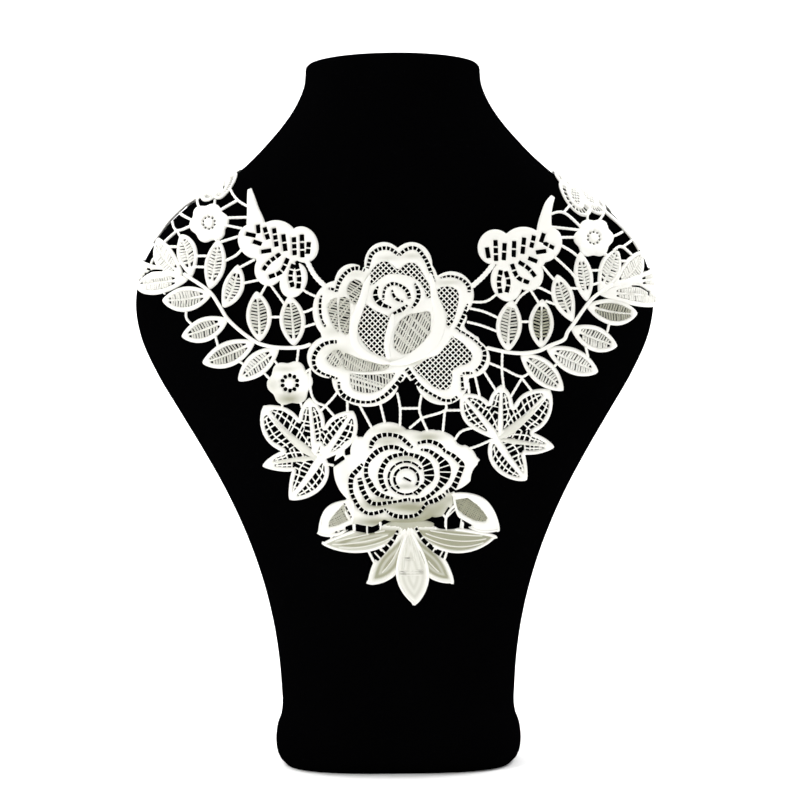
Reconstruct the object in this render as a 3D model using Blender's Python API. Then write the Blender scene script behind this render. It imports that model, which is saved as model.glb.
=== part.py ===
# A lace collar on a necklace display bust, modelled for Blender 4.5.
# The collar is thick ivory guipure lace: roses, lilies, daisies, lobed leaves and leaf sprays,
# held together by narrow bars. It lies on the front and shoulders of a black velvet bust.
# Lengths are in millimetres until a point is put in a mesh, where they become metres.
# The frame: +Z up, the front of the bust faces -Y, the origin is at the centre of the flat foot.
import math

import bmesh
import bpy
import numpy as np
from mathutils import Vector
from mathutils.geometry import delaunay_2d_cdt

MM = 0.001

# Lace
CLEARANCE = 0.75       # from the velvet to the back of the lace
WALL = 1.3             # thickness of the plain lace
RIM_RISE = 0.6         # how far a corded edge or a midrib stands above the plain lace
RIM_WIDTH = 2.6        # from a motif's edge to the plain lace inside it
SEAM = 0.35            # between one motif and the next
BAR_WIDTH = 1.6        # the narrow bars between motifs
STEM_WIDTH = 2.6
BAR_STEP = 9.0         # a longer stretch of a bar is split, so that it follows the bust
ROUND_SIDE = 110.0     # beyond this x the bust turns fast and the lace is split finer
LATTICE = 12.0         # spacing of the extra points that let a wide motif follow the bust
KEEP_OFF = 4.0         # the extra points stay this far from every line
WELD = 0.02            # points nearer than this are one point
CREST_REACH = 0.3      # a point this near to a raised line is on it
SAMPLES = np.linspace(0.0, 1.0, 9)     # where along a line it is looked at
ROOM = 1.2             # raised lines and valleys stop this far from a motif on top
KNOT = 1.0             # radius of the knot where two edges would only touch

# The pattern is laid out as the collar is seen from in front: a place is given by its x and
# height in the plane of the bust's axis, and is carried to the velvet along the line of sight.
EYE_DISTANCE = 1100.0
EYE_HEIGHT = 186.0
LEAN = 1.0             # the collar hangs this far from the middle of the bust
AIM_ROUNDS = 3

# Bust
BUST_SIDES = 40
# Columns: height, half width, front depth, back depth, squareness of the outline
BUST_SECTIONS = (
    (0.0, 58.0, 47.0, 46.0, 2.9),
    (3.0, 61.0, 50.0, 49.0, 2.9),
    (8.0, 62.9, 51.8, 50.8, 2.9),
    (14.0, 63.2, 52.0, 51.0, 2.9),
    (20.0, 62.3, 51.2, 50.2, 2.9),
    (24.5, 60.6, 49.4, 48.4, 2.8),
    (28.0, 60.1, 48.0, 46.6, 2.6),
    (40.0, 60.5, 47.4, 46.0, 2.4),
    (60.0, 62.4, 48.0, 46.0, 2.3),
    (80.0, 66.1, 49.6, 46.4, 2.2),
    (100.0, 71.6, 52.2, 47.0, 2.2),
    (120.0, 79.0, 55.4, 48.0, 2.2),
    (140.0, 88.2, 58.8, 49.0, 2.2),
    (160.0, 99.2, 61.6, 50.0, 2.2),
    (180.0, 111.1, 63.6, 50.6, 2.2),
    (200.0, 122.9, 64.0, 50.6, 2.2),
    (220.0, 131.7, 62.6, 50.0, 2.2),
    (237.0, 134.3, 60.2, 49.2, 2.2),
    (250.0, 132.5, 57.6, 48.2, 2.2),
    (260.0, 129.0, 55.2, 47.2, 2.2),
    (270.0, 123.0, 52.6, 46.2, 2.15),
    (280.0, 115.0, 50.2, 45.2, 2.1),
    (290.0, 103.0, 48.2, 44.4, 2.05),
    (300.0, 86.5, 46.6, 43.8, 2.0),
    (310.0, 74.5, 45.4, 43.4, 2.0),
    (320.0, 64.8, 44.8, 43.2, 2.0),
    (330.0, 56.3, 44.6, 43.2, 2.0),
    (340.0, 49.8, 44.8, 43.4, 2.0),
    (350.0, 45.9, 45.2, 43.8, 2.0),
    (356.0, 45.3, 45.6, 44.2, 2.0),
    (358.5, 45.0, 45.4, 44.0, 2.0),
    (359.5, 44.0, 44.4, 43.0, 2.0),
)
SHOULDER_ROW = 17      # from this row up the bust only gets narrower

# Motifs. A place is x, z; sizes of leaves and bars are real ones, sizes of petals are as seen.
# Columns of petals and rings: x, z, half width, half height, turn in degrees
UPPER_ROSE = (
    (-1.5, 225.6, 38.5, 30.4, 0.0),
    (-22.0, 245.0, 10.2, 12.4, 15.0),
    (-6.0, 256.5, 10.5, 12.0, 8.0),
    (8.0, 256.3, 10.9, 12.0, -5.0),
    (28.5, 240.5, 12.0, 12.4, -10.0),
    (33.5, 217.0, 11.0, 8.0, -35.0),
    (36.0, 208.0, 12.8, 10.8, -15.0),
    (23.5, 196.5, 14.0, 13.3, -15.0),
    (-16.5, 196.2, 17.5, 13.6, -6.0),
    (-34.5, 208.8, 12.4, 11.2, 5.0),
    (-30.5, 232.5, 13.2, 16.0, 5.0),
)
UPPER_ROSE_BUD = (0.0, 239.5, 13.0, 11.0, 0.0)
LOWER_ROSE = (
    (4.0, 146.0, 27.0, 24.5, 0.0),
    (-16.5, 130.5, 12.0, 10.8, 20.0),
    (18.5, 134.5, 10.5, 9.6, -30.0),
    (5.5, 130.5, 14.5, 8.6, 0.0),
    (28.5, 150.5, 14.0, 11.6, 35.0),
    (-18.5, 149.0, 15.0, 18.0, 12.0),
    (19.5, 160.0, 14.4, 11.4, -12.0),
    (-5.2, 160.3, 14.4, 14.2, 6.0),
)
LOWER_ROSE_RINGS = ((4.5, 144.6, 8.0, 7.4, 0.0), (4.0, 146.0, 14.8, 13.6, 0.0))
LILY_LEFT = (
    (-48.5, 267.6, 8.0, 9.6, 20.0),
    (-53.5, 249.0, 7.0, 9.4, -20.0),
    (-66.5, 254.5, 7.4, 8.4, 0.0),
    (-74.0, 269.5, 8.2, 9.4, 30.0),
    (-62.5, 267.0, 12.6, 13.4, 0.0),
)
LILY_RIGHT = (
    (51.5, 265.4, 8.8, 9.2, -20.0),
    (57.5, 247.2, 8.0, 10.4, 15.0),
    (69.5, 250.8, 7.4, 8.6, 0.0),
    (78.5, 266.4, 7.8, 9.6, -30.0),
    (66.5, 263.0, 12.8, 12.8, 0.0),
)
# Columns of daisies: x, z, radius, lobes, turn in degrees
DAISIES = {
    "daisy_upper_left": (-97.5, 279.4, 10.4, 6, 10.0),
    "daisy_upper_right": (103.3, 269.8, 10.4, 6, 0.0),
    "daisy_lower_left": (-56.0, 195.3, 12.0, 6, 5.0),
}
LOBE_DEPTH = 0.13      # of a daisy's radius
DAISY_EYE = 0.33       # of its radius
DAISY_CROWN = 0.62     # of its radius

# Columns of leaves: base x, base z, tip x, tip z, width, bend to its left, where it is fullest
SPRAY_LEFT = (
    (-112.0, 252.5, -140.0, 259.0, 10.5, 0.0, 0.5),
    (-111.5, 252.5, -124.5, 272.0, 12.5, 1.5, 0.5),
    (-107.2, 250.5, -112.6, 273.5, 12.0, -1.8, 0.55),
    (-97.6, 244.5, -92.6, 271.0, 11.5, -0.8, 0.5),
    (-90.8, 235.0, -82.6, 257.5, 11.0, -1.8, 0.5),
    (-108.5, 250.2, -136.0, 246.7, 11.5, 0.5, 0.5),
    (-96.5, 242.2, -122.5, 239.0, 12.5, 1.0, 0.5),
    (-88.0, 229.0, -112.5, 220.0, 12.0, 1.0, 0.5),
    (-74.0, 217.2, -101.8, 206.0, 12.5, 1.0, 0.5),
    (-61.5, 213.5, -83.0, 196.5, 11.5, -0.4, 0.5),
    (-71.6, 217.0, -73.0, 243.5, 13.0, -0.5, 0.5),
    (-53.6, 214.5, -55.8, 241.0, 13.0, -0.4, 0.5),
)
SPRAY_RIGHT = (
    (112.5, 245.0, 140.0, 253.0, 10.5, 0.0, 0.5),
    (112.0, 244.0, 128.0, 262.5, 13.5, -2.0, 0.55),
    (105.5, 241.0, 115.5, 264.5, 12.5, -0.5, 0.55),
    (99.5, 236.5, 96.0, 262.5, 10.5, 0.0, 0.5),
    (92.5, 225.5, 84.0, 250.8, 11.5, 1.0, 0.55),
    (105.5, 240.5, 135.5, 235.3, 11.5, 1.4, 0.5),
    (99.0, 234.7, 126.0, 230.0, 13.0, -1.6, 0.5),
    (91.0, 223.0, 115.2, 212.8, 12.2, -1.0, 0.5),
    (78.2, 212.2, 105.2, 199.4, 12.5, -0.6, 0.5),
    (64.6, 209.2, 86.9, 190.0, 12.4, 0.2, 0.5),
    (75.4, 212.2, 76.2, 238.0, 13.0, 0.3, 0.5),
    (58.0, 210.6, 60.4, 237.8, 13.0, 0.5, 0.5),
)
PALM_LEFT = (
    (-39.5, 158.0, -57.0, 134.5, 18.0, 1.2, 0.42),
    (-42.0, 156.0, -71.0, 152.0, 11.0, -0.8, 0.45),
    (-41.5, 156.0, -70.0, 183.5, 20.0, 2.0, 0.62),
    (-41.5, 154.0, -23.0, 180.5, 16.0, -0.5, 0.6),
    (-43.0, 156.0, -46.0, 187.5, 13.0, 0.0, 0.6),
)
PALM_RIGHT = (
    (50.5, 167.0, 67.5, 143.5, 18.0, -1.2, 0.42),
    (52.0, 165.0, 82.0, 160.5, 11.5, 0.0, 0.45),
    (51.5, 165.0, 80.0, 190.5, 19.5, -2.0, 0.62),
    (53.5, 163.5, 33.5, 188.5, 15.5, -0.5, 0.6),
    (53.5, 166.0, 54.5, 193.5, 12.5, 0.0, 0.6),
)
CALYX = (5.0, 118.0, 13.0, 4.5, 0.0)
LEAF_TAIL = (
    (-24.0, 134.0, -41.5, 116.5, 15.5, 1.2, 0.5),
    (29.0, 137.0, 52.5, 118.0, 16.5, -0.8, 0.5),
    (3.0, 119.5, -40.0, 111.5, 12.5, 2.2, 0.45),
    (7.0, 120.0, 51.0, 115.0, 12.8, -4.6, 0.5),
    (4.0, 121.0, -16.0, 90.5, 13.0, 3.0, 0.6),
    (6.0, 121.0, 28.5, 91.0, 13.0, -3.0, 0.6),
    (5.0, 124.0, 8.5, 79.5, 16.5, 0.0, 0.6),
)

LEAF_FULLNESS = 0.75   # below 1 the leaf is fuller towards its ends
LEAF_RIM = 0.26        # the widest rim, of the leaf's width
LEAF_POINT = 0.4       # where less than this would be left inside the rim it closes
MIDRIB = (0.14, 0.84)  # where the midrib starts and ends, along the leaf

# A stem or a bar is a line of places; a width left out is the usual one.
STEM_LEFT = ((-111, 253), (-98, 243.9), (-92.3, 236), (-88.4, 229.5), (-82.3, 223.4), (-74.3, 217.4),
             (-68, 214.9), (-60, 213.7), (-50, 213.9), (-44.5, 215.6))
STEM_RIGHT = ((113, 245.5), (104, 239.5), (99, 234.3), (92.6, 225.4), (89, 220.5), (87, 216.6), (80, 213.7),
              (74, 210.9), (66, 209.8), (58, 210.3), (49, 212.3), (46.5, 213))
NECK_LEFT = ((-72.2, 271, 10), (-73.2, 279, 9.6), (-74.5, 286, 6.4), (-75.5, 292, 4.4), (-76.2, 297, 2.2))
NECK_RIGHT = ((77, 270, 8), (77.8, 277, 7.2), (78.8, 283, 5.4), (80.3, 288, 4.2), (82.3, 291.7, 2.2))

BARS_SPRAY_LEFT = (
    ((-80.5, 272.5), (-92, 269)), ((-95, 275), (-93, 268)), ((-79, 267), (-83, 262.5), (-89, 259.3)),
    ((-73.5, 260), (-83, 255)), ((-73, 249), (-80, 247.5)), ((-67, 248), (-71.5, 240)),
    ((-66.5, 248), (-58, 236)), ((-69, 229.8), (-58, 229.8)), ((-109, 237), (-109.5, 229.5), (-104, 224)),
    ((-95, 222), (-92.5, 212)), ((-86, 209.5), (-76, 202.5)), ((-108, 262), (-96, 262)),
    ((-107, 256.5), (-96, 256)), ((-120, 267), (-111, 267)), ((-118.5, 258), (-110, 258)),
    ((-115.5, 280), (-114, 275.5), (-105, 278.5)), ((-114, 275.5), (-111, 269)),
    ((-114, 275.5), (-122, 268.5)), ((-122, 250), (-121, 242)), ((-128, 256), (-127, 250)),
    ((-128, 258), (-124, 266)), ((-66, 210), (-60, 202)), ((-72, 203.5), (-64.5, 195.5)),
    ((-51, 215), (-52.5, 203)), ((-57, 232.5), (-48, 232.3), (-41, 235.3)),
    ((-57, 224.5), (-50, 224.2), (-39, 227.2)),
)
BARS_SPRAY_RIGHT = (
    ((60, 226.2), (75, 226.2)), ((72, 244), (75.5, 243.5), (84, 239)), ((69.5, 243.5), (76, 233)),
    ((61, 234), (64.3, 239), (69.5, 243)), ((84, 246), (80, 250.5), (75.5, 256)),
    ((80.5, 236), (87, 233.5)), ((94, 248), (90.5, 252.5), (82.5, 260)), ((96, 259), (91, 263), (84, 267)),
    ((90, 243.5), (97, 243.2)), ((98, 252.5), (109, 252.8)), ((100, 244.5), (107, 246.5)),
    ((113, 257.5), (124, 257.2)), ((113, 251), (124, 250.5)), ((112, 262), (117.5, 265), (124.5, 259)),
    ((118, 264.8), (122, 268)), ((114, 260), (106, 261.5)), ((112, 230), (109.5, 219)),
    ((97, 219), (100, 206)), ((80, 201), (87, 207)), ((50, 221), (57, 221.5)), ((130, 252), (129, 240)),
    ((55, 211), (54.8, 200), (56, 189)), ((44, 206.5), (54.5, 203), (60, 199.5), (68.5, 197.5)),
    ((64.5, 197.5), (71, 189)), ((65.5, 197.5), (58.5, 186)), ((38, 233.5), (46, 231.5), (56, 226.8)),
    ((34, 227), (44, 224.5), (56, 219.8)),
)
BARS_LOWER_ROSE = (
    ((-20.5, 185), (-11.5, 168)), ((-9.5, 187), (-6, 172)), ((0, 190), (1.5, 181.5), (1.2, 171)),
    ((1.5, 181.6), (11.5, 181.6)), ((13, 190), (11.5, 181.5), (12.7, 176.5), (16, 169)),
    ((12.7, 176.5), (6, 171)), ((12.7, 176.5), (24.8, 180.4), (24.6, 186)),
    ((24.8, 180.4), (23.5, 168)),
)
BARS_PALM_LEFT = (
    ((-26, 187), (-26, 174)), ((-45.5, 203), (-45, 191), (-42.5, 185.5), (-37.5, 183.2)),
    ((-37.5, 183.2), (-33, 188), (-28, 195)), ((-37.5, 183.2), (-30, 174.5)),
    ((-37.5, 183.2), (-43.5, 177)), ((-26, 172), (-18, 163)), ((-30, 160), (-22, 153)),
    ((-42, 154), (-28, 151)),
)
BARS_PALM_RIGHT = (
    ((24.8, 180.4), (38, 180.4)), ((29, 163.5), (33.5, 169.4), (44, 172)),
    ((28.5, 160.5), (38, 160.5), (51, 165.5)), ((40, 201), (43.8, 184)), ((44, 202.5), (53, 188)),
    ((37, 195), (38, 185)),
)
BARS_LILY_LEFT = (((-50, 246), (-47, 242.8), (-39, 239)),)
BARS_LILY_RIGHT = (((54, 242), (46.5, 237), (36, 237)),)
THICK_BARS_LEFT = (((-47, 260), (-42, 250.8), (-34, 243)),)
THICK_BARS_RIGHT = (((52, 258), (45.3, 250), (36, 242)),)
THICK_BAR_WIDTH = 3.0
BARS_DAISY_UPPER_LEFT = (
    ((-76, 282), (-93, 281.6)), ((-77, 275.5), (-92, 278.6)), ((-76, 287), (-82.3, 291), (-84, 297)),
    ((-82.3, 291), (-93, 285)), ((-99, 283), (-100.5, 291)), ((-102, 279), (-109.5, 283)),
)
BARS_DAISY_UPPER_RIGHT = (
    ((98, 274), (87.5, 283), (78.5, 281.5)), ((87.5, 283), (91, 287)), ((98, 273.5), (79.5, 275.7)),
    ((98, 270), (80, 270)), ((107, 270), (117, 272.3), (110, 281)), ((99.5, 274), (100, 284)),
    ((105, 274), (112.5, 283.5)),
)
BARS_DAISY_LOWER_LEFT = (((-60, 190), (-60, 178)), ((-52, 190), (-48.5, 179)), ((-51, 199), (-41, 205)))
BARS_TAIL = (
    ((-23, 126), (-23, 112)), ((-16.5, 126), (-16.5, 112)), ((-9.5, 126), (-9.5, 113)),
    ((25, 112), (25, 124.5), (29.5, 131)), ((25, 124.5), (19, 130)), ((33, 112), (34, 128)),
    ((42, 114), (42, 126)), ((-35, 112), (-35, 122)), ((-29, 113), (-30, 124)),
    ((-16.5, 109), (-11, 98)), ((-11, 112), (-6, 102)), ((-6, 115), (-2, 105)),
    ((26.5, 111), (22.5, 98)), ((21, 112), (17, 102)), ((15.5, 115), (12, 105)),
    ((-31, 128), (-22, 135)), ((35, 133), (25, 140)),
)

# The shoulder pieces run over the ridge of the shoulder. A place is x and the distance along
# the velvet from the ridge, positive towards the back.
SHOULDER_LEFT = (
    (88.0, -14.0, 8.6, 16.0, 14.0),
    (95.0, -4.0, 9.5, 12.0, 8.0),
    (95.5, 6.0, 12.0, 13.0, 0.0),
    (86.0, 7.0, 8.0, 11.0, 0.0),
    (92.0, 17.0, 10.5, 10.0, 0.0),
)
SHOULDER_RIGHT = (
    (95.6, -22.0, 9.4, 14.5, 0.0),
    (101.0, -14.0, 12.0, 15.0, 20.0),
    (93.0, -3.0, 11.0, 15.0, 10.0),
    (101.0, 6.0, 12.0, 13.0, 0.0),
    (90.5, 9.0, 9.0, 11.5, 0.0),
    (97.0, 17.0, 10.5, 10.0, 0.0),
)

IVORY = (0.86, 0.84, 0.76)
BLACK_VELVET = (0.006, 0.006, 0.007)

SECTION_TABLE = np.array(BUST_SECTIONS)
HEIGHTS = SECTION_TABLE[:, 0]
SLOPES = np.gradient(SECTION_TABLE[:, 1:], HEIGHTS, axis=0)
ARC_HEIGHTS = np.arange(0.0, HEIGHTS[-1] + 1.0, 1.0)
ARC_ANGLES = np.linspace(0.0, math.pi, 241)
SIGHT_ROUNDS = 12
NORMAL_STEP = 0.05
RIDGE_SAMPLES = 160
RIDGE_DROP = 60.0


# The bust's surface
def section(height):
    """Half width, front depth, back depth and squareness of the bust at each height."""
    height = np.clip(np.asarray(height, float), HEIGHTS[0], HEIGHTS[-1])
    row = np.clip(np.searchsorted(HEIGHTS, height, side="right") - 1, 0, len(HEIGHTS) - 2)
    step = HEIGHTS[row + 1] - HEIGHTS[row]
    t = ((height - HEIGHTS[row]) / step)[..., None]
    step = step[..., None]
    low, high = SECTION_TABLE[row, 1:], SECTION_TABLE[row + 1, 1:]
    values = (low * (2 * t ** 3 - 3 * t ** 2 + 1) + high * (3 * t ** 2 - 2 * t ** 3)
              + SLOPES[row] * step * (t ** 3 - 2 * t ** 2 + t)
              + SLOPES[row + 1] * step * (t ** 3 - t ** 2))
    return np.moveaxis(values, -1, 0)


def ring_point(angle, height):
    """A point of the velvet: angle 0 is the front, a quarter turn is the +X side."""
    half_width, front, back, squareness = section(height)
    power = 2.0 / squareness
    sine, cosine = np.sin(angle), np.cos(angle)
    x = half_width * np.sign(sine) * np.abs(sine) ** power
    depth = np.where(cosine > 0.0, front, back)
    y = -depth * np.sign(cosine) * np.abs(cosine) ** power
    return np.stack([x, y, height + 0.0 * x], axis=-1)


def arc_table():
    """Distance along the velvet from the front centre line, for each height and angle."""
    angles, heights = np.meshgrid(ARC_ANGLES, ARC_HEIGHTS)
    points = ring_point(angles, heights)
    steps = np.linalg.norm(np.diff(points, axis=1), axis=2)
    return np.concatenate([np.zeros((len(ARC_HEIGHTS), 1)), np.cumsum(steps, axis=1)], axis=1)


ARCS = arc_table()


def front_depth(x, height):
    """How far in front of the axis the velvet is."""
    half_width, front, _, squareness = section(height)
    share = np.clip(np.abs(x) / half_width, 0.0, 0.999)
    return front * (1.0 - share ** squareness) ** (1.0 / squareness)


def arc_at(angle, height):
    low = np.clip(np.floor(height).astype(int), 0, len(ARC_HEIGHTS) - 2)
    share = height - low
    below = np.array([np.interp(a, ARC_ANGLES, ARCS[i]) for a, i in zip(angle, low)])
    above = np.array([np.interp(a, ARC_ANGLES, ARCS[i + 1]) for a, i in zip(angle, low)])
    return below + (above - below) * share


def angle_at(arc, height):
    low = np.clip(np.floor(height).astype(int), 0, len(ARC_HEIGHTS) - 2)
    share = height - low
    below = np.array([np.interp(s, ARCS[i], ARC_ANGLES) for s, i in zip(arc, low)])
    above = np.array([np.interp(s, ARCS[i + 1], ARC_ANGLES) for s, i in zip(arc, low)])
    return below + (above - below) * share


def surface_angle(x, y, height):
    """The angle, without its sign, of a point that is on the velvet."""
    half_width, front, back, squareness = section(height)
    depth = np.where(y < 0.0, front, back)
    across = np.clip(np.abs(x) / half_width, 0.0, 1.0) ** (squareness / 2)
    along = np.clip(np.abs(y) / depth, 0.0, 1.0) ** (squareness / 2)
    return np.where(y < 0.0, np.arctan2(across, along), math.pi - np.arctan2(across, along))


def sight(seen):
    """Carry places seen from the front to the velvet: arc length from the centre line, height."""
    x, z = seen[:, 0], seen[:, 1]
    depth = front_depth(x, z)
    for _ in range(SIGHT_ROUNDS):
        nearer = (EYE_DISTANCE - depth) / EYE_DISTANCE
        x = seen[:, 0] * nearer
        z = EYE_HEIGHT + (seen[:, 1] - EYE_HEIGHT) * nearer
        depth = 0.5 * (depth + front_depth(x, z))
    angle = surface_angle(x, -front_depth(x, z), z)
    beyond = np.maximum(np.abs(x) - section(z)[0], 0.0)
    return np.stack([np.sign(x) * (arc_at(angle, z) + beyond), z], axis=-1)


def place(points):
    """The pattern's arc length and height that put the face of the lace at a place seen in front."""
    wanted = np.asarray(points, float).reshape(-1, 2) + (LEAN, 0.0)
    aim = wanted
    for _ in range(AIM_ROUNDS):
        pattern = sight(aim)
        face = outward(around_bust, pattern[:, 0], pattern[:, 1], np.full(len(aim), CLEARANCE + WALL))
        nearer = EYE_DISTANCE / (EYE_DISTANCE + face[:, 1])
        shown = np.stack([face[:, 0] * nearer, EYE_HEIGHT + (face[:, 2] - EYE_HEIGHT) * nearer], axis=-1)
        aim = aim + wanted - shown
    return sight(aim)


def outward(points_at, first, second, offset):
    """Points of a surface moved out along its normal by the offset."""
    step = NORMAL_STEP
    here = points_at(first, second)
    across = points_at(first + step, second) - points_at(first - step, second)
    along = points_at(first, second + step) - points_at(first, second - step)
    normal = np.cross(across, along)
    normal /= np.linalg.norm(normal, axis=1)[:, None]
    return here + normal * offset[:, None]


def around_bust(arc, height):
    """The pattern wrapped round the bust: arc length from the centre line, and height."""
    angle = np.sign(arc) * angle_at(np.abs(arc), height)
    return ring_point(angle, height)


def ridge_profile(x):
    """Front half of the shoulder at one x: distance from the ridge, depth and height."""
    top = float(np.interp(-abs(x), -SECTION_TABLE[SHOULDER_ROW:, 1], HEIGHTS[SHOULDER_ROW:]))
    fine = np.linspace(top - 2.0, top + 2.0, 81)
    top = float(np.interp(-abs(x), -section(fine)[0], fine))
    heights = top - RIDGE_DROP * np.linspace(0.0, 1.0, RIDGE_SAMPLES) ** 2
    half_width, front, back, squareness = section(heights)
    share = np.clip(abs(x) / half_width, 0.0, 1.0)
    rise = (1.0 - share ** squareness) ** (1.0 / squareness)
    rise[0] = 0.0
    return heights, front * rise, back * rise


def over_shoulder(x, run):
    """The shoulder pieces: x, and the distance from the ridge, positive towards the back."""
    result = np.zeros((len(x), 3))
    for i, (across, distance) in enumerate(zip(x, run)):
        heights, front, back = ridge_profile(across)
        depth = front if distance < 0.0 else back
        steps = np.hypot(np.diff(depth), np.diff(heights))
        travelled = np.concatenate([[0.0], np.cumsum(steps)])
        y = np.interp(abs(distance), travelled, depth)
        result[i] = (across, math.copysign(y, distance), np.interp(abs(distance), travelled, heights))
    return result


# Outlines of the motifs, in the pattern
def shape(outline, valleys=(), ribs=(), rim=RIM_RISE):
    return {"outline": np.asarray(outline), "valleys": list(valleys), "ribs": list(ribs), "rim": rim}


def ellipse(x, z, half_width, half_height, turn, sides):
    angles = np.linspace(0.0, 2 * math.pi, sides, endpoint=False)
    across, up = half_width * np.cos(angles), half_height * np.sin(angles)
    lean = math.radians(turn)
    return np.stack([x + across * math.cos(lean) - up * math.sin(lean),
                     z + across * math.sin(lean) + up * math.cos(lean)], axis=-1)


def petal(row, sides=14, to_pattern=place):
    """A petal with a corded edge over a plain middle."""
    x, z, half_width, half_height, turn = row
    outer = ellipse(x, z, half_width, half_height, turn, sides)
    inner = ellipse(x, z, half_width - RIM_WIDTH, half_height - RIM_WIDTH, turn, sides - 4)
    return shape(to_pattern(outer), [to_pattern(inner)])


def ring(row, sides=18):
    """A raised ring inside a rose."""
    return place(ellipse(*row, sides))


def daisy(row):
    x, z, radius, lobes, turn = row
    sides = lobes * 4
    angles = np.linspace(0.0, 2 * math.pi, sides, endpoint=False)
    reach = radius * (1.0 - LOBE_DEPTH * (0.5 - 0.5 * np.cos(lobes * angles)))
    lean = angles + math.radians(turn)
    outer = np.stack([x + reach * np.cos(lean), z + reach * np.sin(lean)], axis=-1)
    dish = ellipse(x, z, radius * DAISY_EYE, radius * DAISY_EYE, turn, 10)
    crown = ellipse(x, z, radius * DAISY_CROWN, radius * DAISY_CROWN, turn, 12)
    return shape(place(outer), [place(dish)], [place(np.vstack([crown, crown[:1]]))], rim=0.0)


def leaf(row):
    """A pointed leaf with a corded edge and a midrib."""
    base_x, base_z, tip_x, tip_z, width, bend, fullest = row
    steps = 5 if abs(tip_x) < ROUND_SIDE + 10.0 else 9
    base, tip = place([(base_x, base_z), (tip_x, tip_z)])
    axis = tip - base
    side = np.array([-axis[1], axis[0]]) / np.linalg.norm(axis)
    middle = (base + tip) / 2 + side * bend * 2
    warp = math.log(0.5) / math.log(fullest)

    def at(t):
        point = base * (1 - t) ** 2 + middle * 2 * t * (1 - t) + tip * t ** 2
        way = (middle - base) * (1 - t) + (tip - middle) * t
        way /= np.linalg.norm(way)
        half = width / 2 * math.sin(math.pi * t ** warp) ** LEAF_FULLNESS if 0 < t < 1 else 0.0
        return point, np.array([-way[1], way[0]]), half

    def loop(inset):
        left, right = [], []
        for t in np.linspace(0.0, 1.0, steps + 1):
            point, normal, half = at(t)
            if 0 < inset and half <= inset + LEAF_POINT:
                continue
            left.append(point + normal * max(half - inset, 0.0))
            right.append(point - normal * max(half - inset, 0.0))
        if inset == 0:
            return np.array(left + right[-2:0:-1])
        return np.array(left + right[::-1])

    rib = np.array([at(t)[0] for t in np.linspace(*MIDRIB, steps - 2)])
    inset = min(RIM_WIDTH, width * LEAF_RIM)
    return shape(loop(0.0), [loop(inset)], [rib])


def band(points, width=BAR_WIDTH, to_pattern=place):
    """A bar or stem along a line of places; a third number in a place is its own width."""
    rows = np.array([tuple(p) if len(p) > 2 else (*p, width) for p in points], float)
    lengths = np.linalg.norm(np.diff(rows[:, :2], axis=0), axis=1)
    step = BAR_STEP / 2 if np.abs(rows[:, 0]).max() > ROUND_SIDE else BAR_STEP
    pieces = np.maximum(np.ceil(lengths / step).astype(int), 1)
    marks = np.concatenate([i + np.arange(n) / n for i, n in enumerate(pieces)] + [[len(rows) - 1]])
    rows = np.stack([np.interp(marks, np.arange(len(rows)), column) for column in rows.T], axis=-1)
    line = to_pattern(rows[:, :2])
    way = np.gradient(line, axis=0)
    way /= np.linalg.norm(way, axis=1)[:, None]
    normal = np.stack([-way[:, 1], way[:, 0]], axis=-1)
    half = rows[:, 2:] / 2
    return shape(np.vstack([line + normal * half, (line - normal * half)[::-1]]), rim=0.0)


# The flat pattern of a node
def inside(points, outline):
    x, y = points[:, 0], points[:, 1]
    result = np.zeros(len(points), bool)
    start, end = outline, np.roll(outline, -1, axis=0)
    for (x0, y0), (x1, y1) in zip(start, end):
        crosses = (y0 > y) != (y1 > y)
        with np.errstate(divide="ignore", invalid="ignore"):
            at = x0 + (y - y0) / (y1 - y0) * (x1 - x0)
        result ^= crosses & (x < at)
    return result


def grown(outline, by):
    """An outline moved outwards."""
    before, after = np.roll(outline, 1, axis=0), np.roll(outline, -1, axis=0)
    first, second = outline - before, after - outline
    area = np.sum(outline[:, 0] * after[:, 1] - after[:, 0] * outline[:, 1])
    turn = 1.0 if area > 0 else -1.0
    normals = []
    for a, b in zip(first, second):
        a, b = a / max(np.linalg.norm(a), 1e-9), b / max(np.linalg.norm(b), 1e-9)
        normal = np.array([a[1], -a[0]]) + np.array([b[1], -b[0]])
        length = np.linalg.norm(normal)
        normals.append(normal / max(length, 1e-9) * min(2.0 / max(length, 0.6), 2.0))
    return outline + np.array(normals) * turn * by


def distances(points, starts, ends):
    """Distance from each point to each segment."""
    run = ends - starts
    length = np.maximum(np.sum(run * run, axis=1), 1e-12)
    offset = points[:, None, :] - starts[None, :, :]
    share = np.clip(np.sum(offset * run[None], axis=2) / length[None], 0.0, 1.0)
    return np.linalg.norm(offset - share[..., None] * run[None], axis=2)


def pattern_lines(shapes, cutters):
    """Every line of the pattern that shows: its segments and how high they stand."""
    starts, ends, rises = [], [], []

    def add(line, closed, rise, covers):
        line = np.vstack([line, line[:1]]) if closed else line
        for start, end in zip(line[:-1], line[1:]):
            along = start + (end - start) * SAMPLES[:, None]
            hidden = np.zeros(len(along), bool)
            for cover in covers:
                hidden |= inside(along, cover)
            if not hidden.all():
                starts.append(start)
                ends.append(end)
                rises.append(rise)

    for i, one in enumerate(shapes):
        above = [other["outline"] for other in shapes[i + 1:]]
        add(one["outline"], True, one["rim"], above)
        roomy = [grown(outline, ROOM) for outline in above]
        for valley in one["valleys"]:
            add(valley, True, 0.0, roomy)
        for rib in one["ribs"]:
            add(rib, False, RIM_RISE, roomy)
    for cutter in cutters:
        add(cutter, True, -1.0, [])
    return np.array(starts), np.array(ends), np.array(rises)


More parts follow.
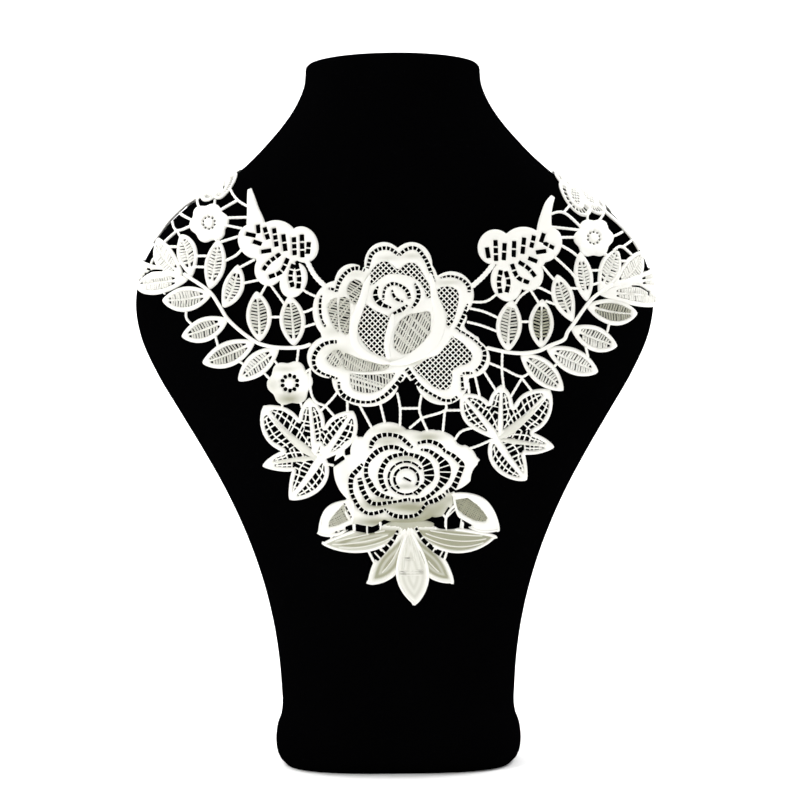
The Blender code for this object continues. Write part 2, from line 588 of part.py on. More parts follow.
def touching_corners(triangles):
    """Corners where more than one stretch of edge meets, so that the lace would only touch."""
    sides = {}
    for triangle in triangles:
        for a, b in zip(triangle, np.roll(triangle, -1)):
            key = (min(a, b), max(a, b))
            sides[key] = sides.get(key, 0) + 1
    ends = [corner for side, count in sides.items() if count == 1 for corner in side]
    return [corner for corner in set(ends) if ends.count(corner) > 2]


def flat_panel(shapes, cutters, rounds=2):
    """The union of the shapes less the cutters, as a flat mesh with its raised lines."""
    starts, ends, rises = pattern_lines(shapes, cutters)
    points = np.vstack([starts, ends])
    edges = [(i, i + len(starts)) for i in range(len(starts))]
    own = np.vstack([one["outline"] for one in shapes])
    low, high = own.min(axis=0), own.max(axis=0)
    lattice = [(x + LATTICE / 2 * (j % 2), y)
               for j, y in enumerate(np.arange(low[1], high[1], LATTICE * 0.85))
               for x in np.arange(low[0], high[0], LATTICE)]
    lattice = np.array(lattice)
    wanted = np.zeros(len(lattice), bool)
    for one in shapes:
        wanted |= inside(lattice, one["outline"])
    wanted &= distances(lattice, starts, ends).min(axis=1) > KEEP_OFF
    points = np.vstack([points, lattice[wanted]])
    flat = delaunay_2d_cdt([Vector(p) for p in points], edges, [], 0, WELD, False)
    corners = np.array([(v.x, v.y) for v in flat[0]])
    triangles = np.array([face for face in flat[2]])
    centres = corners[triangles].mean(axis=1)
    keep = np.zeros(len(triangles), bool)
    for one in shapes:
        keep |= inside(centres, one["outline"])
    for cutter in cutters:
        keep &= ~inside(centres, cutter)
    touching = touching_corners(triangles[keep])
    if touching and rounds:
        knots = [shape(ellipse(*corners[i], KNOT, KNOT, 0.0, 6), rim=0.0) for i in touching]
        return flat_panel(knots + shapes, cutters, rounds - 1)
    near = distances(corners, starts, ends) < CREST_REACH
    heights = np.where(near & (rises > 0.0)[None], rises[None], 0.0).max(axis=1)
    return corners, triangles[keep], heights


def largest_island(mesh):
    """Drop everything but the biggest connected piece."""
    left = set(mesh.faces)
    islands = []
    while left:
        todo = [left.pop()]
        island = set(todo)
        while todo:
            for edge in todo.pop().edges:
                for face in edge.link_faces:
                    if face in left:
                        left.remove(face)
                        island.add(face)
                        todo.append(face)
        islands.append(island)
    islands.sort(key=lambda island: sum(face.calc_area() for face in island))
    for island in islands[:-1]:
        bmesh.ops.delete(mesh, geom=list(island), context="FACES")


def lace_node(name, shapes, cutters, colour, surface=around_bust):
    """Cut a node's pattern, raise its corded lines, give it its wall and lay it on the bust."""
    corners, triangles, heights = flat_panel(shapes, cutters)
    mesh = bmesh.new()
    rise = mesh.verts.layers.float.new("rise")
    verts = []
    for (x, y), height in zip(corners, heights):
        vert = mesh.verts.new((x, y, 0.0))
        vert[rise] = height
        verts.append(vert)
    for triangle in triangles:
        mesh.faces.new([verts[i] for i in triangle])
    largest_island(mesh)
    bmesh.ops.delete(mesh, geom=[v for v in mesh.verts if not v.link_faces], context="VERTS")
    raised = bmesh.ops.extrude_face_region(mesh, geom=mesh.faces[:], use_keep_orig=True)
    for item in raised["geom"]:
        if isinstance(item, bmesh.types.BMVert):
            item.co.z = WALL + item[rise]
    flat = np.array([v.co[:] for v in mesh.verts])
    bent = outward(surface, flat[:, 0], flat[:, 1], CLEARANCE + flat[:, 2])
    for vert, point in zip(mesh.verts, bent):
        vert.co = point * MM
    bmesh.ops.recalc_face_normals(mesh, faces=mesh.faces[:])
    return finish_object(name, mesh, colour, 0.75)


# Blender objects
def material(name, colour, roughness):
    result = bpy.data.materials.new(name)
    result.use_nodes = True
    shader = result.node_tree.nodes["Principled BSDF"]
    shader.inputs["Base Color"].default_value = (*colour, 1.0)
    shader.inputs["Roughness"].default_value = roughness
    shader.inputs["Metallic"].default_value = 0.0
    return result


def finish_object(name, mesh, colour, roughness):
    data = bpy.data.meshes.new(name)
    mesh.to_mesh(data)
    mesh.free()
    data.materials.append(material(name + "_finish", colour, roughness))
    data.shade_smooth()
    data.set_sharp_from_angle(angle=math.radians(35.0))
    result = bpy.data.objects.new(name, data)
    PARTS.objects.link(result)
    return result


def display_bust():
    """A limbless bust lofted through its sections, with a flat foot and a flat neck top."""
    angles = np.linspace(0.0, 2 * math.pi, BUST_SIDES, endpoint=False)
    mesh = bmesh.new()
    rings = []
    for height in HEIGHTS:
        points = ring_point(np.mod(angles + math.pi, 2 * math.pi) - math.pi, np.full(BUST_SIDES, height))
        rings.append([mesh.verts.new(point * MM) for point in points])
    for low, high in zip(rings[:-1], rings[1:]):
        for i in range(BUST_SIDES):
            j = (i + 1) % BUST_SIDES
            mesh.faces.new((low[i], low[j], high[j], high[i]))
    mesh.faces.new(rings[0][::-1])
    mesh.faces.new(rings[-1])
    bmesh.ops.recalc_face_normals(mesh, faces=mesh.faces[:])
    return finish_object("display_bust", mesh, BLACK_VELVET, 0.9)


def shoulder_piece(side):
    """A lobed piece that runs over the shoulder; side is +1 or -1."""
    def to_pattern(points):
        return np.asarray(points, float) * (side, 1.0)
    rows = SHOULDER_RIGHT if side > 0 else SHOULDER_LEFT
    return [petal(row, to_pattern=to_pattern) for row in rows]


def shoulder_outline(side):
    """The shoulder piece's outlines as they lie in the pattern of the other nodes."""
    outlines = []
    for one in shoulder_piece(side):
        points = over_shoulder(one["outline"][:, 0], one["outline"][:, 1])
        angle = surface_angle(points[:, 0], points[:, 1], points[:, 2])
        arc = side * arc_at(angle, points[:, 2])
        outlines.append(np.stack([arc, points[:, 2]], axis=-1))
    return outlines


def bars(lines, width=BAR_WIDTH):
    return [band(line, width) for line in lines]


def leaves(rows):
    return [leaf(row) for row in rows]


def collar_nodes():
    """Each node's shapes, lowest first; a node is cut to clear the ones before it."""
    bud = ring(UPPER_ROSE_BUD)
    rose = [petal(row, 20 if i == 0 else 14) for i, row in enumerate(UPPER_ROSE)]
    core = rose.pop(0)
    core["ribs"].append(np.vstack([bud, bud[:1]]))
    lower = [petal(row) for row in LOWER_ROSE]
    centre = shape(place(ellipse(*LOWER_ROSE_RINGS[1], 18)))
    eye = ring(LOWER_ROSE_RINGS[0], 12)
    centre["ribs"].append(np.vstack([eye, eye[:1]]))
    yield "upper_rose", rose + [core]
    yield "lower_rose", bars(BARS_LOWER_ROSE) + lower + [centre]
    for side, lobes, neck, thick, thin in (
            ("left", LILY_LEFT, NECK_LEFT, THICK_BARS_LEFT, BARS_LILY_LEFT),
            ("right", LILY_RIGHT, NECK_RIGHT, THICK_BARS_RIGHT, BARS_LILY_RIGHT)):
        yield "lily_" + side, (bars(thick, THICK_BAR_WIDTH) + bars(thin) + [band(neck)]
                               + [petal(row) for row in lobes])
    yield "palm_leaf_left", bars(BARS_PALM_LEFT) + leaves(PALM_LEFT)
    yield "palm_leaf_right", bars(BARS_PALM_RIGHT) + leaves(PALM_RIGHT)
    daisy_bars = {"daisy_upper_left": BARS_DAISY_UPPER_LEFT,
                  "daisy_upper_right": BARS_DAISY_UPPER_RIGHT,
                  "daisy_lower_left": BARS_DAISY_LOWER_LEFT}
    for name, row in DAISIES.items():
        yield name, bars(daisy_bars[name]) + [daisy(row)]
    yield "leaf_spray_left", bars(BARS_SPRAY_LEFT) + leaves(SPRAY_LEFT) + [band(STEM_LEFT, STEM_WIDTH)]
    yield "leaf_spray_right", (bars(BARS_SPRAY_RIGHT) + leaves(SPRAY_RIGHT)
                               + [band(STEM_RIGHT, STEM_WIDTH)])
    yield "leaf_tail", bars(BARS_TAIL) + [shape(ring(CALYX, 12), rim=0.0)] + leaves(LEAF_TAIL)


def build():
    display_bust()
    done = [outline for side in (-1, 1) for outline in shoulder_outline(side)]
    for name, shapes in collar_nodes():
        reach = np.vstack([one["outline"] for one in shapes])
        low, high = reach.min(axis=0) - 1.0, reach.max(axis=0) + 1.0
        near = [outline for outline in done
                if (outline.max(axis=0) > low).all() and (outline.min(axis=0) < high).all()]
        lace_node(name, shapes, [grown(outline, SEAM) for outline in near], IVORY)
        done.extend(one["outline"] for one in shapes)
    for side, word in ((-1, "left"), (1, "right")):
        lace_node("shoulder_piece_" + word, shoulder_piece(side), [], IVORY, over_shoulder)


for thing in list(bpy.data.objects):
    bpy.data.objects.remove(thing, do_unlink=True)
PARTS = bpy.data.collections.new("lace_collar_on_bust")
bpy.context.scene.collection.children.link(PARTS)
build()
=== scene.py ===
import math

import bmesh
import bpy
import numpy as np
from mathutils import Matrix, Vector


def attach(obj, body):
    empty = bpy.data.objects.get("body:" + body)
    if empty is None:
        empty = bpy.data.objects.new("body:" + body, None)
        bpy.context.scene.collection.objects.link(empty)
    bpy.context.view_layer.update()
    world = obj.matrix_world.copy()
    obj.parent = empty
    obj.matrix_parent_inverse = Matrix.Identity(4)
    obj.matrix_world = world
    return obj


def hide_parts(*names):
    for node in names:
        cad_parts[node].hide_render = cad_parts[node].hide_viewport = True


# A guipure lace collar on a velvet necklace bust.
# Patterns are laid out in millimetres as the collar is seen from in front: x to the right and
# z up from the surface the bust stands on. They are carried to the velvet along the line of sight.

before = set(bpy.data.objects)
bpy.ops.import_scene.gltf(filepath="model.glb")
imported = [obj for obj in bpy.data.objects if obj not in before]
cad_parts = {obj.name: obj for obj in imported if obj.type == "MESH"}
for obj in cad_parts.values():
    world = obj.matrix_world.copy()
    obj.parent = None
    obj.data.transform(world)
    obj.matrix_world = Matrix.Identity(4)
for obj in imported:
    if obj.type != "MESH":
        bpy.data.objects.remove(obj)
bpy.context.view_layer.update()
print("frame loaded:", len(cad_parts), "nodes")

mm = 0.001
eye = {"distance": 1100.0, "height": 186.0, "x": 2.3, "view": 416.0, "roll": 0.51}
lean = 1.0              # the collar hangs this far from the middle of the bust

bust = {
    "sides": 128,
    "ringStep": 3.0,
    "shoulderRow": 17,
    "rows": np.array((  # height, half width, front depth, back depth, squareness
        (0.0, 58.0, 47.0, 46.0, 2.9),
        (3.0, 61.0, 50.0, 49.0, 2.9),
        (8.0, 62.9, 51.8, 50.8, 2.9),
        (14.0, 63.2, 52.0, 51.0, 2.9),
        (20.0, 62.3, 51.2, 50.2, 2.9),
        (24.5, 60.6, 49.4, 48.4, 2.8),
        (28.0, 60.1, 48.0, 46.6, 2.6),
        (40.0, 60.5, 47.4, 46.0, 2.4),
        (60.0, 62.4, 48.0, 46.0, 2.3),
        (80.0, 66.1, 49.6, 46.4, 2.2),
        (100.0, 71.6, 52.2, 47.0, 2.2),
        (120.0, 79.0, 55.4, 48.0, 2.2),
        (140.0, 88.2, 58.8, 49.0, 2.2),
        (160.0, 99.2, 61.6, 50.0, 2.2),
        (180.0, 111.1, 63.6, 50.6, 2.2),
        (200.0, 122.9, 64.0, 50.6, 2.2),
        (220.0, 131.7, 62.6, 50.0, 2.2),
        (237.0, 134.3, 60.2, 49.2, 2.2),
        (250.0, 132.5, 57.6, 48.2, 2.2),
        (260.0, 129.0, 55.2, 47.2, 2.2),
        (270.0, 123.0, 52.6, 46.2, 2.15),
        (280.0, 115.0, 50.2, 45.2, 2.1),
        (290.0, 103.0, 48.2, 44.4, 2.05),
        (300.0, 86.5, 46.6, 43.8, 2.0),
        (310.0, 74.5, 45.4, 43.4, 2.0),
        (320.0, 64.8, 44.8, 43.2, 2.0),
        (330.0, 56.3, 44.6, 43.2, 2.0),
        (340.0, 49.8, 44.8, 43.4, 2.0),
        (350.0, 45.9, 45.2, 43.8, 2.0),
        (356.0, 45.3, 45.6, 44.2, 2.0),
        (358.5, 45.0, 45.4, 44.0, 2.0),
        (359.5, 44.0, 44.4, 43.0, 2.0),
    )),
}
heights = bust["rows"][:, 0]
slopes = np.gradient(bust["rows"][:, 1:], heights, axis=0)


# The velvet's surface
def section(height):
    height = np.clip(height, heights[0], heights[-1])
    row = np.clip(np.searchsorted(heights, height, side="right") - 1, 0, len(heights) - 2)
    step = (heights[row + 1] - heights[row])[..., None]
    t = (height - heights[row])[..., None] / step
    low, high = bust["rows"][row, 1:], bust["rows"][row + 1, 1:]
    values = (low * (2 * t ** 3 - 3 * t ** 2 + 1) + high * (3 * t ** 2 - 2 * t ** 3)
              + slopes[row] * step * (t ** 3 - 2 * t ** 2 + t) + slopes[row + 1] * step * (t ** 3 - t ** 2))
    return np.moveaxis(values, -1, 0)


def ringPoint(angle, height):
    halfWidth, front, back, squareness = section(height)
    power = 2.0 / squareness
    sine, cosine = np.sin(angle), np.cos(angle)
    x = halfWidth * np.sign(sine) * np.abs(sine) ** power
    y = -np.where(cosine > 0.0, front, back) * np.sign(cosine) * np.abs(cosine) ** power
    return np.stack([x, y, height + 0.0 * x], axis=-1)


arcAngles = np.linspace(0.0, math.pi, 361)
arcHeights = np.arange(0.0, heights[-1] + 1.0, 1.0)
arcSteps = np.arange(0.0, 330.0, 1.0)
ringPoints = ringPoint(*np.meshgrid(arcAngles, arcHeights))
arcs = np.concatenate([np.zeros((len(arcHeights), 1)), np.cumsum(
    np.linalg.norm(np.diff(ringPoints, axis=1), axis=2), axis=1)], axis=1)
angles = np.array([np.interp(arcSteps, row, arcAngles) for row in arcs])


def between(table, row, column):
    row = np.clip(row, 0.0, table.shape[0] - 1.001)
    column = np.clip(column, 0.0, table.shape[1] - 1.001)
    i, j = row.astype(int), column.astype(int)
    a, b = row - i, column - j
    return ((table[i, j] * (1 - b) + table[i, j + 1] * b) * (1 - a)
            + (table[i + 1, j] * (1 - b) + table[i + 1, j + 1] * b) * a)


def frontDepth(x, height):
    halfWidth, front, back, squareness = section(height)
    share = np.clip(np.abs(x) / halfWidth, 0.0, 0.999)
    return front * (1.0 - share ** squareness) ** (1.0 / squareness)


def aroundBust(arc, height):
    return ringPoint(np.sign(arc) * between(angles, height, np.abs(arc)), height)


def offVelvet(surface, first, second, offset):
    step = 0.05
    across = surface(first + step, second) - surface(first - step, second)
    along = surface(first, second + step) - surface(first, second - step)
    normal = np.cross(across, along)
    normal /= np.linalg.norm(normal, axis=1)[:, None]
    return surface(first, second) + normal * np.asarray(offset)[..., None]


def sight(seen):
    depth = frontDepth(seen[:, 0], seen[:, 1])
    for _ in range(12):
        nearer = (eye["distance"] - depth) / eye["distance"]
        x, z = seen[:, 0] * nearer, eye["height"] + (seen[:, 1] - eye["height"]) * nearer
        depth = 0.5 * (depth + frontDepth(x, z))
    halfWidth, front, back, squareness = section(z)
    across = np.clip(np.abs(x) / halfWidth, 0.0, 1.0) ** (squareness / 2)
    along = np.clip(frontDepth(x, z) / front, 0.0, 1.0) ** (squareness / 2)
    arc = between(arcs, z, np.arctan2(across, along) / arcAngles[1])
    return np.stack([np.sign(x) * (arc + np.maximum(np.abs(x) - halfWidth, 0.0)), z], axis=-1)


def place(points):
    # Seen places to the pattern: distance round the velvet from the centre line, and height
    wanted = np.asarray(points, float)[:, :2] + (lean, 0.0)
    aim = wanted
    for _ in range(3):
        pattern = sight(aim)
        face = offVelvet(aroundBust, pattern[:, 0], pattern[:, 1], np.full(len(aim), thread["face"]))
        nearer = eye["distance"] / (eye["distance"] + face[:, 1])
        shown = np.stack([face[:, 0] * nearer, eye["height"] + (face[:, 2] - eye["height"]) * nearer], axis=-1)
        aim = aim + wanted - shown
    return sight(aim)


def placeRows(rows):
    # Places that carry a width as their third number
    rows = np.asarray(rows, float)
    return np.column_stack([place(rows), rows[:, 2:]])


# Lines of the pattern
def evenLine(points, step, closed=False):
    points = np.asarray(points, float)
    if closed:
        points = np.vstack([points, points[:1]])
    run = np.concatenate([[0.0], np.cumsum(np.linalg.norm(np.diff(points[:, :2], axis=0), axis=1))])
    marks = np.linspace(0.0, run[-1], max(int(round(run[-1] / step)), 2) + 1)
    return np.stack([np.interp(marks, run, column) for column in points.T], axis=-1)


def smoothLine(points, step=0.9, closed=False):
    p = np.asarray(points, float)
    p = np.vstack([p[-1:], p, p[:2]]) if closed else np.vstack([2 * p[:1] - p[1:2], p, 2 * p[-1:] - p[-2:-1]])
    t = np.linspace(0.0, 1.0, 10)[:-1, None]
    parts = [0.5 * (2 * b + (c - a) * t + (2 * a - 5 * b + 4 * c - d) * t ** 2 + (3 * b - a - 3 * c + d) * t ** 3)
             for a, b, c, d in zip(p[:-3], p[1:-2], p[2:-1], p[3:])]
    return evenLine(np.vstack(parts + [p[-2:-1]]), step)


def sideways(line):
    way = np.gradient(line[:, :2], axis=0)
    if np.allclose(line[0, :2], line[-1, :2]):
        way[0] = way[-1] = line[1, :2] - line[-2, :2]
    way /= np.maximum(np.linalg.norm(way, axis=1), 1e-9)[:, None]
    return np.stack([-way[:, 1], way[:, 0]], axis=-1)


def inside(points, outline):
    x, y = points[:, 0], points[:, 1]
    result = np.zeros(len(points), bool)
    for (x0, y0), (x1, y1) in zip(outline[:, :2], np.roll(outline[:, :2], -1, axis=0)):
        if y0 != y1:
            result ^= ((y0 > y) != (y1 > y)) & (x < x0 + (y - y0) / (y1 - y0) * (x1 - x0))
    return result


def shownRuns(line, within=(), covers=(), least=3, chosen=None):
    # The stretches of a line inside the regions and outside the covers
    show = np.ones(len(line), bool) if chosen is None else chosen
    if len(within):
        show = np.any([inside(line, one) for one in within], axis=0)
    for cover in covers:
        show &= ~inside(line, cover)
    if show.all():
        return [line]
    if np.allclose(line[0], line[-1]) and show[0] and show[-1]:
        first = int(np.argmin(show))
        line, show = np.vstack([line[first:-1], line[:first + 1]]), np.append(np.roll(show[:-1], -first), False)
    runs, start = [], None
    for i, on in enumerate(np.append(show, False)):
        if on and start is None:
            start = i
        elif not on and start is not None:
            if i - start >= least:
                runs.append(line[start:i])
            start = None
    return runs


def ellipse(x, z, halfWidth, halfHeight, turn, inset=0.0, span=(0.0, 360.0), step=1.0):
    a, b = max(halfWidth - inset, 0.6), max(halfHeight - inset, 0.6)
    count = max(int(math.radians(span[1] - span[0]) * max(a, b) / step), 8)
    t = np.radians(np.linspace(span[0], span[1], count + 1) - turn)
    lean = math.radians(turn)
    across, up = a * np.cos(t), b * np.sin(t)
    return np.stack([x + across * math.cos(lean) - up * math.sin(lean),
                     z + across * math.sin(lean) + up * math.cos(lean)], axis=-1)


# Thread work: every stroke is a closed, domed ribbon, with its run and width in its UV map
thread = {
    "face": 2.05,       # how far the face of the lace is from the velvet
    "under": 0.75,      # how far its back is
    "satin": 1.35, "net": 0.55,     # thicknesses
    "roundness": 0.72,  # below 1 a ribbon's section is fuller than an ellipse
    "weld": 0.0004,
}


def startLace():
    mesh = bmesh.new()
    # the shade layer holds painted shade: how far each place is greyed toward olive
    return {"mesh": mesh, "uv": mesh.loops.layers.uv.new("thread"), "shade": mesh.verts.layers.float.new("shade"),
            "rise": mesh.verts.layers.float.new("rise"), "area": 0.0}


def softEnds(line):
    # A line with more points near its ends, for a rounded tip
    a, b, c, d = line[:1], line[1:2], line[-2:-1], line[-1:]
    return np.vstack([a, a * 0.82 + b * 0.18, line[1:-1], c * 0.18 + d * 0.82, d])


def ribbon(lace, left, right, thick, lift=0.0, sides=8, taper=0.8, shade=0.0):
    mesh, n = lace["mesh"], len(left)
    middle, half = (left[:, :2] + right[:, :2]) / 2, (right[:, :2] - left[:, :2]) / 2
    run = np.concatenate([[0.0], np.cumsum(np.linalg.norm(np.diff(middle, axis=0), axis=1))])
    closed = np.allclose(middle[0], middle[-1])
    end = np.ones(n) if closed else np.sqrt(np.clip(np.minimum(run, run[-1] - run) / taper, 0.0, 1.0))
    phi = np.linspace(-math.pi / 2, 1.5 * math.pi, sides + 1)
    c = np.sign(np.cos(phi)) * np.abs(np.cos(phi)) ** thread["roundness"]
    s = np.sign(np.sin(phi)) * np.abs(np.sin(phi)) ** thread["roundness"]
    c[0] = c[-1] = 0.0
    half = half * end[:, None]
    thick = np.broadcast_to(thick, n) * (0.5 + 0.5 * end) * (end > 0)
    flat = middle[None] + half[None] * c[:, None, None]
    up = thread["under"] + lift + thick[None] * (0.5 + 0.5 * s[:, None]) + np.where(end > 0, 0.0, 0.3)[None]
    across = np.linalg.norm(half, axis=1)[None] * c[:, None]
    made = bmesh.ops.create_grid(mesh, x_segments=n - 1, y_segments=sides, size=1.0)["verts"]
    places = np.dstack([flat, up]).reshape(-1, 3).tolist()
    spots = np.dstack([np.broadcast_to(run, across.shape), across]).reshape(-1, 2).tolist()
    tone = lace["shade"]
    for vert, point in zip(made, places):
        vert.co = point
        vert[tone] = shade
    widths = np.linalg.norm(half[1:], axis=1) + np.linalg.norm(half[:-1], axis=1) + 0.3 * (thick[1:] + thick[:-1]) / 2
    lace["area"] += float(np.sum(np.diff(run) * widths))
    uv = lace["uv"]
    spot = dict(zip(made, spots))
    for face in {face for vert in made for face in vert.link_faces}:
        for loop in face.loops:
            loop[uv].uv = spot[loop.vert]


def stroke(lace, line, width, thick, lift=0.0, sides=8, taper=0.8, shade=0.0):
    line = np.asarray(line)
    half = sideways(line) * np.broadcast_to(width, len(line))[:, None] / 2
    ribbon(lace, line[:, :2] + half, line[:, :2] - half, thick, lift, sides, taper, shade)


def satin(lace, line, width, lift=0.0, shade=0.0):
    stroke(lace, line, width, thread["satin"], lift, 10, shade=shade)


def strand(lace, a, b, width=0.6, thick=None, lift=0.15, shade=0.0, step=3.0):
    # One straight thread between two places of the pattern
    length = math.dist(a, b)
    if length < 0.3:
        return
    ends = min(0.25 / length, 0.3)
    marks = np.concatenate([[0.0], np.linspace(ends, 1 - ends, max(int(length / step), 1) + 1), [1.0]])[:, None]
    line = np.asarray(a) * (1 - marks) + np.asarray(b) * marks
    stroke(lace, line, width, thick or thread["net"], lift, 5, taper=0.2, shade=shade)


def ladder(lace, left, right, pitch=1.9, width=0.7, lift=0.1, shade=0.0, inner=False):
    # Rungs between two lines that run side by side
    length = np.linalg.norm(np.diff(left[:, :2], axis=0), axis=1).sum()
    count = max(int(length / pitch), 1)
    marks = (np.arange(1, count) if inner else np.arange(count) + 0.5) / count * (len(left) - 1)
    for mark in marks:
        i = int(mark)
        share = mark - i
        a, b = (one[i, :2] * (1 - share) + one[min(i + 1, len(one) - 1), :2] * share for one in (left, right))
        strand(lace, a, b, width, lift=lift, shade=shade)


chance = np.random.default_rng(5)


def netFill(lace, regions, angle, pitch, width, covers=(), lift=0.05, shade=0.0, thick=None, loose=0.0):
    # Parallel threads over the regions; loose ones are uneven in place, length and width
    points = np.vstack(regions)
    lean = math.radians(angle)
    way, side = np.array([math.cos(lean), math.sin(lean)]), np.array([-math.sin(lean), math.cos(lean)])
    low, high = (points @ side).min(), (points @ side).max()
    start, stop = (points @ way).min(), (points @ way).max()
    marks = np.arange(start, stop, 0.5)
    for offset in np.arange(low + pitch / 2, high, pitch):
        slip, tilt, wide = (loose * (chance.random(3) - 0.5)).tolist()
        line = way * marks[:, None] + side * (offset + slip * pitch)
        for run in shownRuns(line, regions, covers):
            a, b = run[0] - way * 0.5 - side * tilt, run[-1] + way * 0.5 + side * tilt
            strand(lace, a, b, width * (1.0 + wide), thick, lift, shade, step=3.5)


def finishLace(lace, name, node, surface=aroundBust):
    mesh = lace["mesh"]
    bmesh.ops.remove_doubles(mesh, verts=mesh.verts[:], dist=thread["weld"])
    data = bpy.data.meshes.new(name)
    mesh.to_mesh(data)
    co = np.zeros(len(data.vertices) * 3)
    data.vertices.foreach_get("co", co)
    co = co.reshape(-1, 3)
    data.vertices.foreach_set("co", (offVelvet(surface, co[:, 0], co[:, 1], co[:, 2]) * mm).ravel())
    mesh.clear()
    mesh.from_mesh(data)
    bmesh.ops.recalc_face_normals(mesh, faces=mesh.faces[:])
    mesh.to_mesh(data)
    mesh.free()
    data.shade_smooth()
    data.materials.append(laceThread)
    piece = bpy.data.objects.new(name, data)
    bpy.context.scene.collection.objects.link(piece)
    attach(piece, "root")
    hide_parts(node)
    print(name, sum(len(face.vertices) - 2 for face in data.polygons), "triangles")


def nearest(points, starts, ends):
    # Distance to the closest of the segments, and the closest place on it
    run = ends - starts
    length = np.maximum(np.sum(run * run, axis=1), 1e-12)
    away, spot = np.empty(len(points)), np.empty((len(points), 2))
    for first in range(0, len(points), 800):
        some = points[first:first + 800]
        offset = some[:, None, :] - starts[None, :, :]
        share = np.clip(np.sum(offset * run[None], axis=2) / length[None], 0.0, 1.0)
        feet = starts[None] + share[..., None] * run[None]
        gaps = np.linalg.norm(some[:, None, :] - feet, axis=2)
        best = gaps.argmin(axis=1)
        away[first:first + 800] = gaps[np.arange(len(some)), best]
        spot[first:first + 800] = feet[np.arange(len(some)), best]
    return away, spot


def edgesOf(shapes):
    starts = np.vstack([one[:, :2] for one in shapes])
    return starts, np.vstack([np.roll(one[:, :2], -1, axis=0) for one in shapes])


def isSolid(points, outlines, cuts):
    keep = np.any([inside(points, one) for one in outlines], axis=0)
    for cut in cuts:
        keep &= ~inside(points, cut)
    return keep


def realEdges(outlines, cuts):
    # The stretches of the outlines and cuts that have lace on one side only
    starts, ends = edgesOf(list(outlines) + list(cuts))
    way = ends - starts
    length = np.linalg.norm(way, axis=1)
    full = length > 1e-6
    starts, ends, way = starts[full], ends[full], way[full] / length[full, None]
    side = np.stack([-way[:, 1], way[:, 0]], axis=-1) * 0.1
    middle = (starts + ends) / 2
    real = isSolid(middle + side, outlines, cuts) != isSolid(middle - side, outlines, cuts)
    return starts[real], ends[real]


def closeTo(shapes, outlines, gap=1.0):
    # Those of the shapes whose boxes meet the outlines' box
    every = np.vstack(outlines)
    low, high = every.min(axis=0) - gap, every.max(axis=0) + gap
    return [one for one in shapes if (one.max(axis=0) > low).all() and (one.min(axis=0) < high).all()]


def pad(lace, outlines, cuts=(), cell=0.75, thick=1.35, lift=0.0, turn=0.0, shade=0.0, grain=None, slope=1.2):
    # Solid embroidery: the outlines together less the cuts, crowned away from its edges
    mesh = lace["mesh"]
    lean = math.radians(turn)
    way = np.array([[math.cos(lean), math.sin(lean)], [-math.sin(lean), math.cos(lean)]])
    reach = np.vstack(outlines) @ way.T
    low = reach.min(axis=0) - cell / 2
    nx, ny = np.ceil((reach.max(axis=0) + cell / 2 - low) / cell).astype(int).tolist()
    corners = np.stack(np.meshgrid(np.arange(nx + 1), np.arange(ny + 1)), axis=-1).reshape(-1, 2)
    middles = np.stack(np.meshgrid(np.arange(nx), np.arange(ny)), axis=-1).reshape(-1, 2) + 0.5
    places = (low + cell * corners) @ way
    keep = isSolid((low + cell * middles) @ way, outlines, cuts).reshape(ny, nx)
    for _ in range(6):      # no two cells only touch at a corner
        a, b, c, d = keep[:-1, :-1], keep[:-1, 1:], keep[1:, :-1], keep[1:, 1:]
        touch = (a & d & ~b & ~c) | (b & c & ~a & ~d)
        if not touch.any():
            break
        keep[:-1, :-1] |= touch
        keep[:-1, 1:] |= touch
    if not keep.any():
        return
    made = bmesh.ops.create_grid(mesh, x_segments=nx, y_segments=ny, size=1.0)["verts"]
    order = {vert: k for k, vert in enumerate(made)}
    gone = []
    for face in {face for vert in made for face in vert.link_faces}:
        j, i = divmod(min(order[vert] for vert in face.verts), nx + 1)
        if not keep[j, i]:
            gone.append(face)
    bmesh.ops.delete(mesh, geom=gone, context="FACES")
    left = [(vert, k) for vert, k in order.items() if vert.is_valid]
    verts, places = [vert for vert, k in left], places[[k for vert, k in left]]
    rim = np.array([any(edge.is_boundary for edge in vert.link_edges) for vert in verts])
    starts, ends = realEdges(outlines, cuts)
    away, spot = nearest(places[rim], starts, ends)
    places[rim] = np.where(away[:, None] < 1.5 * cell, spot, places[rim])
    for vert, spot in zip(verts, places.tolist()):
        vert.co = (*spot, thread["under"] + lift)
    rimVerts = {vert for vert, edge in zip(verts, rim) if edge}
    near = [vert for vert in verts if vert not in rimVerts
            and any(edge.other_vert(vert) in rimVerts for edge in vert.link_edges)]
    bmesh.ops.smooth_vert(mesh, verts=near, factor=0.5, use_axis_x=True, use_axis_y=True, use_axis_z=False)
    places = np.array([vert.co[:2] for vert in verts])
    away = nearest(places, starts, ends)[0]
    crown = np.sqrt(1.0 - (1.0 - np.clip(away / slope, 0.0, 1.0)) ** 2)
    rises = thick * (0.4 + 0.5 * crown + 0.1 * np.clip(away / 4.0, 0.0, 1.0))
    tones = shade(places) if callable(shade) else np.full(len(places), shade)
    rise, tone = lace["rise"], lace["shade"]
    for vert, height, dark in zip(verts, rises.tolist(), tones.tolist()):
        vert[rise] = height
        vert[tone] = dark
    faces = list({face for vert in verts for face in vert.link_faces})
    lace["area"] += sum(face.calc_area() for face in faces)
    raised = bmesh.ops.extrude_face_region(mesh, geom=faces, use_keep_orig=True)["geom"]
    for item in raised:
        if isinstance(item, bmesh.types.BMVert):
            item.co.z += item[rise]
            verts.append(item)
    uv = lace["uv"]
    stitches = grain or (lambda p: (p[:, 0], p[:, 1]))
    u, v = stitches(np.array([vert.co[:2] for vert in verts]))
    spots = dict(zip(verts, zip(u.tolist(), v.tolist())))
    for face in {face for vert in verts for face in vert.link_faces}:
        for loop in face.loops:
            loop[uv].uv = spots[loop.vert]


